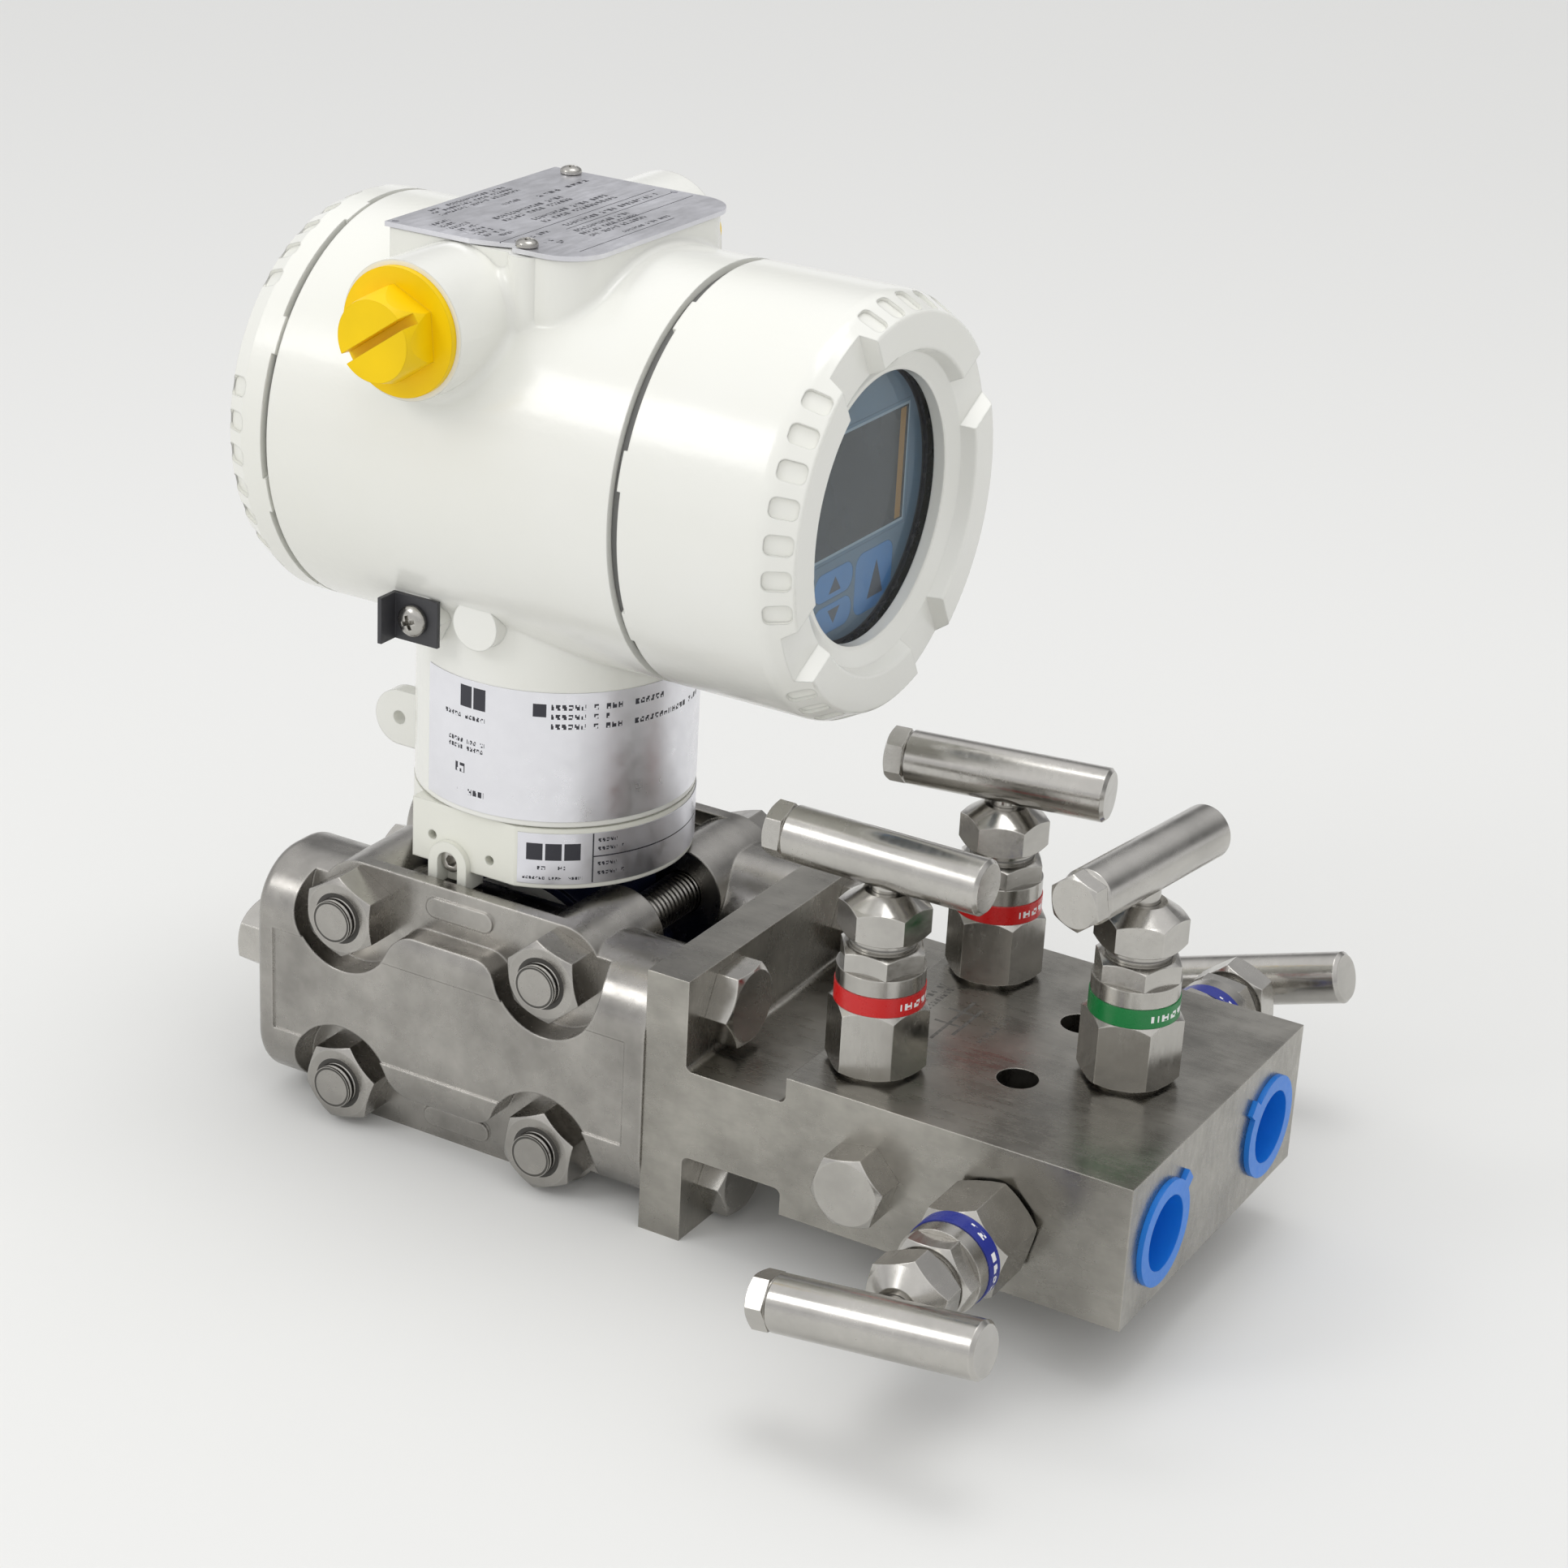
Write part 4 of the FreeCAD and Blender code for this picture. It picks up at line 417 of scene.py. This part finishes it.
def screen_look():
    """A dark liquid-crystal pane with a pale outline and an amber strip along one edge."""
    graph = plastic("screen_look", (0.018, 0.024, 0.036), 0.12, 700.0, 0.02)
    x, y, z = graph.axes()
    clouds = graph.spread(graph.noise(40.0, 2.0), 0.0, 1.0)
    graph.color(graph.blend(clouds, (0.008, 0.011, 0.020), (0.022, 0.030, 0.045)))
    inner = graph.patch(y, z, (-21.6 * MM, 21.6 * MM), (149.2 * MM, 174.4 * MM))
    outer = graph.patch(y, z, (-22.2 * MM, 22.2 * MM), (148.6 * MM, 175.0 * MM))
    strip = graph.patch(y, z, (18.2 * MM, 20.6 * MM), (149.6 * MM, 174.0 * MM))
    graph.ink(graph.math("SUBTRACT", 1.0, outer), FOIL_FACE, 0.3)
    graph.ink(graph.math("SUBTRACT", outer, inner), (0.33, 0.42, 0.50), 0.3)
    graph.ink(strip, (0.36, 0.19, 0.05), 0.35)
    return graph.set(Specular_IOR_Level=0.15)


def keys_look():
    """Blue foil keys, each with a plain arrowhead."""
    graph = plastic("key_look", (0.03, 0.22, 0.56), 0.33, 500.0, 0.05)
    x, y, z = graph.axes()

    def arrow(middle_y, low, high, slope, up):
        reach = graph.math("SUBTRACT", high, z) if up else graph.past(z, low)
        side = graph.math("ABSOLUTE", graph.past(y, middle_y))
        inside = graph.math("LESS_THAN", side, graph.math("MULTIPLY", reach, slope))
        return graph.both(inside, graph.within(z, low, high))

    up = arrow(-6.2 * MM, 140.4 * MM, 143.8 * MM, 0.75, True)
    down = arrow(-6.2 * MM, 133.4 * MM, 136.8 * MM, 0.75, False)
    enter = arrow(11.5 * MM, 134.5 * MM, 142.6 * MM, 0.42, True)
    return graph.ink(graph.either(up, down, enter), (0.02, 0.035, 0.07), 0.4)


def flange_steel(name):
    """The steel of nuts and studs, and the distance from the nearest stud's axis."""
    graph = steel(name, (0.43, 0.415, 0.39), 0.22, grain_scale=380.0, depth=0.10, edge=0.4 * MM, edge_highlight=0.35,
                  streaks=0.08)
    x, y, z = graph.axes()
    across, along = (graph.past(graph.math("ABSOLUTE", graph.past(value, middle)), reach)
                     for value, middle, reach in zip((x, z), (NECK_X, FLANGE_Z), STUD_SPREAD))
    return graph, graph.length(across, along), y


def nut_look():
    """Nuts, with painted shade in a ring round the stud, where the thread runs in."""
    graph, radius, y = flange_steel("nut_look")
    # Painted shade: a dark ring about the stud's axis on the nut.
    return graph.ink(graph.within(radius, 4.6 * MM, 6.0 * MM), (0.05, 0.047, 0.042), 0.5)


def stud_look():
    """Studs with rolled threads and a rim of painted shade at the chamfer."""
    graph, radius, y = flange_steel("stud_look")
    # Painted shade: a dark ring near the edge of each stud's end.
    graph.ink(graph.within(radius, 4.25 * MM, 4.75 * MM), (0.06, 0.057, 0.05), 0.45)
    thread = 1.5 * MM
    turns = graph.math("SINE", graph.math("MULTIPLY", y, 2 * math.pi / thread))
    return graph.normal(graph.bump(turns, 0.6, 0.4 * MM))


def bonnet_look():
    """Turned valve bodies, with the thread that shows between the lock nut and the gland nut drawn as painted
    shade in its grooves.
    """
    graph = steel("bonnet_look", (0.48, 0.465, 0.435), 0.20, grain=(1, 1, 0.3), grain_scale=700.0, depth=0.06,
                  blotch=0.08, edge_highlight=0.25, streaks=0.08)
    x, y, z = graph.axes()
    thread_from_z, thread_from_y, thread = 76 * MM, 72 * MM, 1.25 * MM
    rise = graph.either(graph.past(z, thread_from_z), graph.past(graph.math("ABSOLUTE", y), thread_from_y))
    turns = graph.math("SINE", graph.math("MULTIPLY", rise, 2 * math.pi / thread))
    # Painted shade in the thread's grooves, darker across half of each turn.
    thread_shade = graph.both(graph.math("GREATER_THAN", rise, 0.0), graph.spread(turns, 0.0, 0.75, 0.0, -1.0))
    return graph.ink(thread_shade, (0.10, 0.095, 0.09), 0.4)


def window_look():
    """Clear glass with a faint film."""
    graph = Graph("window_look", (0.9, 0.95, 0.96), 0.02)
    graph.set(Transmission_Weight=1.0, IOR=1.22)
    return graph.rough(graph.spread(graph.noise(30.0, 3.0), 0.01, 0.05))


looks = {
    "white_paint": paint("white_paint_look", (0.86, 0.86, 0.82), 0.20),
    "cream_paint": paint("cream_paint_look", (0.83, 0.83, 0.76), 0.34),
    "navy_paint": paint("navy_paint_look", (0.012, 0.016, 0.045), 0.22),
    "manifold_steel": manifold_look(),
    "valve_steel": steel("valve_look", (0.53, 0.515, 0.485), 0.19, grain=(1, 0.3, 1), grain_scale=700.0,
                         depth=0.05, blotch=0.08, edge_highlight=0.2, streaks=0.10),
    "cast_steel": steel("cast_look", (0.41, 0.395, 0.37), 0.25, grain_scale=200.0, depth=0.22, blotch=0.16,
                        edge=0.6 * MM, edge_highlight=0.25, streaks=0.08),
    "bolt_steel": steel("bolt_look", (0.50, 0.485, 0.455), 0.21, grain_scale=420.0, depth=0.10, blotch=0.10,
                        edge=0.4 * MM, edge_highlight=0.35, streaks=0.08),
    "yellow_plastic": plastic("yellow_look", (1.0, 0.67, 0.0), 0.40, 300.0, 0.06).set(
        Specular_IOR_Level=0.25),
    "blue_plastic": plastic("blue_look", (0.010, 0.22, 0.80), 0.34),
    "red_band": vent_band("red_look", (0.62, 0.012, 0.012), -38.0, 60.0, 41.25 * MM, 27 * MM),
    "green_band": vent_band("green_look", (0.004, 0.22, 0.05), -44.0, 60.0, 86.85 * MM, 0.0),
    "blue_band": isolate_band(),
    "black_rubber": plastic("rubber_look", (0.16, 0.16, 0.155), 0.6),
    "white_seal": plastic("seal_look", (0.75, 0.75, 0.71), 0.5),
    "dark_plastic": plastic("dark_look", (0.012, 0.015, 0.034), 0.24),
    "screen": screen_look(),
    "key_blue": keys_look(),
    "board_green": plastic("board_look", (0.01, 0.10, 0.03), 0.4),
    "brass": steel("brass_look", (0.72, 0.55, 0.26), 0.25),
    "bracket_grey": plastic("bracket_look", (0.045, 0.045, 0.05), 0.42),
    "plate_metal": nameplate_look(),
    "label_foil": neck_label_look(),
    "window_glass": window_look(),
}
own_looks = {
    "ring_label": ring_label_look(),
    "display_module": display_look(),
    "flange_nuts": nut_look(),
    "flange_studs": stud_look(),
    "valve_bonnets": bonnet_look(),
}

slots = {s["node"]: s["material_slot"] for s in frame["record"]["subparts"]}
for name, thing in nodes.items():
    look = own_looks.get(name, looks[slots[name]]).material
    if thing.material_slots:
        for held in thing.material_slots:
            held.material = look
    else:
        thing.data.materials.append(look)


# Screws with domed heads and a cross recess.


def filled_mesh(name, made):
    """A mesh from a bmesh, with its faces turned outwards."""
    mesh = bpy.data.meshes.new(name)
    bmesh.ops.recalc_face_normals(made, faces=made.faces)
    made.to_mesh(mesh)
    made.free()
    return mesh


def placed(name, mesh):
    thing = bpy.data.objects.new(name, mesh)
    bpy.context.scene.collection.objects.link(thing)
    return thing


def turned(profile, steps=48):
    """A closed turned solid about Z from pairs of radius and height, starting and ending on the axis."""
    made = bmesh.new()
    rings = []
    turns = [2 * math.pi * i / steps for i in range(steps)]
    round_points = [(math.cos(turn), math.sin(turn)) for turn in turns]
    for radius, height in profile:
        if radius:
            rings.append([made.verts.new((radius * x, radius * y, height)) for x, y in round_points])
        else:
            rings.append([made.verts.new((0, 0, height))])
    for low, high in zip(rings, rings[1:]):
        for i in range(steps):
            j = (i + 1) % steps
            corners = [low[i % len(low)], low[j % len(low)], high[j % len(high)], high[i % len(high)]]
            unique = list(dict.fromkeys(corners))
            if len(unique) > 2:
                made.faces.new(unique)
    return made


def cross_cutter(head, height):
    """Two crossed wedges, narrower at the bottom, that stand above the head."""
    made = bmesh.new()
    wide, narrow, deep, turned_by = head * 0.58, head * 0.13, height * 0.75, 20
    levels = ((height - deep, 0.55), (height * 1.4, 1.0))
    faces = ((3, 2, 1, 0), (4, 5, 6, 7), (0, 1, 5, 4), (1, 2, 6, 5), (2, 3, 7, 6), (3, 0, 4, 7))
    for turn in (0, 90):
        corners = []
        for level, taper in levels:
            for side_x, side_y in ((-1, -1), (1, -1), (1, 1), (-1, 1)):
                point = Vector((side_x * wide * taper, side_y * narrow, level))
                point.rotate(Matrix.Rotation(math.radians(turn + turned_by), 3, "Z"))
                corners.append(made.verts.new(point))
        for face in faces:
            made.faces.new([corners[i] for i in face])
    return made


def cut_by(thing, made):
    """The thing's mesh with a second closed mesh cut away."""
    cutter = placed(thing.name + "_cutter", filled_mesh(thing.name + "_cutter", made))
    trim = thing.modifiers.new("recess", "BOOLEAN")
    trim.operation = "DIFFERENCE"
    trim.solver = "EXACT"
    trim.use_self = True
    trim.object = cutter
    seen = bpy.context.evaluated_depsgraph_get()
    cut = bpy.data.meshes.new_from_object(thing.evaluated_get(seen))
    thing.modifiers.clear()
    bpy.data.objects.remove(cutter)
    return cut


def cross_screw(name, at, direction, head, height, shank, reach):
    """A pan-head screw on the housing: domed top, soft rim and a cross recess."""
    rim = height * 0.35
    profile = [(0, -reach), (shank, -reach), (shank, 0), (head * 0.92, 0), (head, height * 0.12), (head, rim)]
    for i in range(1, 9):
        angle = math.radians(90 * i / 9)
        profile.append((head * math.cos(angle), rim + (height - rim) * math.sin(angle)))
    profile.append((0, height))
    mesh = filled_mesh(name, turned(profile))
    mesh.materials.append(looks["bolt_steel"].material)
    for face in mesh.polygons:
        face.use_smooth = True
    thing = placed(name, mesh)
    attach(thing, "housing")
    thing.data = cut_by(thing, cross_cutter(head, height))
    turn = Vector(direction).to_track_quat("Z", "Y").to_matrix().to_4x4()
    thing.data.transform(Matrix.Translation(at) @ turn)
    sharp = thing.modifiers.new("edges", "EDGE_SPLIT")
    sharp.split_angle = math.radians(35)
    return thing


def plate_screws():
    """One at each of two opposite corners of the nameplate."""
    low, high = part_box("nameplate_screws")
    head, shank, seat, clearance = 2.4 * MM, 1.35 * MM, 206.95 * MM, 0.02 * MM
    corners = ((low[0] + head, high[1] - head), (high[0] - head, low[1] + head))
    screws = [cross_screw("plate_screw_%d" % i, (x, y, seat), (0, 0, 1), head, high[2] - seat - clearance,
                          shank, seat - low[2]) for i, (x, y) in enumerate(corners)]
    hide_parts("nameplate_screws")


def earth_screw():
    """The screw that holds the earth bracket, with its head outwards."""
    low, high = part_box("earth_screw")
    head, height, shank, stand = 3.5 * MM, 2.55 * MM, 1.95 * MM, 2.6 * MM
    seat = low[1] + stand
    at = ((low[0] + high[0]) / 2, seat, (low[2] + high[2]) / 2)
    screw = cross_screw("earth_pan_screw", at, (0, -1, 0), head, height, shank, high[1] - seat)
    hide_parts("earth_screw")


plate_screws()
earth_screw()


# Floor, light and camera.


def staged_floor():
    """A pale matt floor."""
    made = bmesh.new()
    bmesh.ops.create_grid(made, x_segments=8, y_segments=8, size=6.0)
    mesh = bpy.data.meshes.new("floor")
    made.to_mesh(mesh)
    made.free()
    floor = placed("floor", mesh)
    graph = Graph("floor_look", (0.80, 0.80, 0.785), 0.75)
    glow = graph.add("ShaderNodeEmission")
    glow.inputs["Color"].default_value = (1.0, 0.995, 0.975, 1)
    path = graph.add("ShaderNodeLightPath").outputs
    seen = graph.either(path["Is Camera Ray"], path["Is Glossy Ray"], path["Is Transmission Ray"])
    graph.link(graph.math("MULTIPLY", seen, 0.02), glow.inputs["Strength"])
    total = graph.add("ShaderNodeAddShader")
    graph.link(graph.shader.outputs[0], total.inputs[0])
    graph.link(glow.outputs[0], total.inputs[1])
    graph.link(total.outputs[0], graph.tree.nodes["Material Output"].inputs["Surface"])
    graph.rough(graph.spread(graph.noise(3.0, 2.0), 0.7, 0.8))
    graph.set(Specular_IOR_Level=0.1)
    mesh.materials.append(graph.material)


# Brightness of the studio by height, from straight down at 0 over the horizon at 0.5 to overhead at 1.
DOWN, OVERHEAD = (0.0, 0.30), (1.0, 0.95)
WALL = ((0.48, 0.86), (0.565, 0.86))
BEHIND = (DOWN, OVERHEAD, *WALL, (0.62, 0.20), (0.72, 0.20), (0.84, 1.05))
FRONT = (DOWN, OVERHEAD, *WALL, (0.62, 0.52), (0.70, 1.38), (0.80, 1.22))
# How far a direction counts as the front, from straight behind at 0 to straight in front at 1.
TOWARD_FRONT = ((0.0, 0.0), (1.0, 1.0), (0.35, 0.05), (0.65, 0.95))


def studio_world():
    """A pale wall round the horizon, bright overhead and towards the front, darker high up behind."""
    world = bpy.data.worlds.new("studio")
    bpy.context.scene.world = world
    world.use_nodes = True
    tree = world.node_tree
    back = tree.nodes["Background"]
    spot = tree.nodes.new("ShaderNodeTexCoord").outputs["Generated"]

    def ramp(levels, feed):
        """A smooth ramp. The first two levels are its ends."""
        made = tree.nodes.new("ShaderNodeValToRGB")
        made.color_ramp.interpolation = "B_SPLINE"
        tree.links.new(feed, made.inputs["Fac"])
        stops = made.color_ramp.elements
        for i, (place, level) in enumerate(levels):
            stop = stops[i] if i < 2 else stops.new(place)
            stop.position = place
            stop.color = (level, level, level * 1.01, 1)
        return made.outputs[0]

    def along(direction):
        """0 to 1 as a ray turns from against the direction to along it."""
        made = tree.nodes.new("ShaderNodeVectorMath")
        made.operation = "DOT_PRODUCT"
        tree.links.new(spot, made.inputs[0])
        made.inputs[1].default_value = direction
        half = tree.nodes.new("ShaderNodeMath")
        half.operation = "MULTIPLY_ADD"
        tree.links.new(made.outputs["Value"], half.inputs[0])
        half.inputs[1].default_value = 0.5
        half.inputs[2].default_value = 0.5
        return half.outputs[0]

    height = along((0, 0, 1))
    around = tree.nodes.new("ShaderNodeMix")
    around.data_type = "RGBA"
    tree.links.new(ramp(TOWARD_FRONT, along((-0.25, -0.97, 0))), around.inputs[0])
    tree.links.new(ramp(BEHIND, height), around.inputs[6])
    tree.links.new(ramp(FRONT, height), around.inputs[7])
    tree.links.new(around.outputs[2], back.inputs["Color"])
    back.inputs["Strength"].default_value = 1.0


def lamp(name, at, target, size, watts):
    """A soft square lamp."""
    data = bpy.data.lights.new(name, "AREA")
    data.size = size
    data.energy = watts
    thing = placed(name, data)
    thing.location = at
    thing.rotation_euler = (Vector(target) - Vector(at)).to_track_quat("-Z", "Y").to_euler()


def camera(at, azimuth, elevation, roll, lens):
    """A camera seen from the given azimuth and elevation, in degrees, rolled about its line of sight."""
    azimuth, elevation, roll = (math.radians(angle) for angle in (azimuth, elevation, roll))
    level = Vector((math.cos(azimuth), math.sin(azimuth), 0))
    back = Vector((math.sin(azimuth) * math.cos(elevation), -math.cos(azimuth) * math.cos(elevation),
                   math.sin(elevation)))
    up = back.cross(level)
    side = level * math.cos(roll) + up * math.sin(roll)
    top = up * math.cos(roll) - level * math.sin(roll)
    data = bpy.data.cameras.new("camera")
    data.lens = lens
    data.sensor_width = 36.0
    data.clip_start = 0.01
    thing = placed("camera", data)
    thing.matrix_world = Matrix.Translation(at) @ Matrix((side, top, back)).transposed().to_4x4()
    bpy.context.scene.camera = thing


staged_floor()
studio_world()
lamp("key", (-0.55, -0.75, 0.75), (0, 0, 0.08), 0.35, 1.4)
lamp("top", (0.05, 0.10, 1.05), (0, 0, 0.05), 0.45, 1.8)
camera((0.33513, -0.60008, 0.38947), 29.126, 23.464, 3.169, 79.62)
bpy.context.scene.view_settings.view_transform = "Standard"
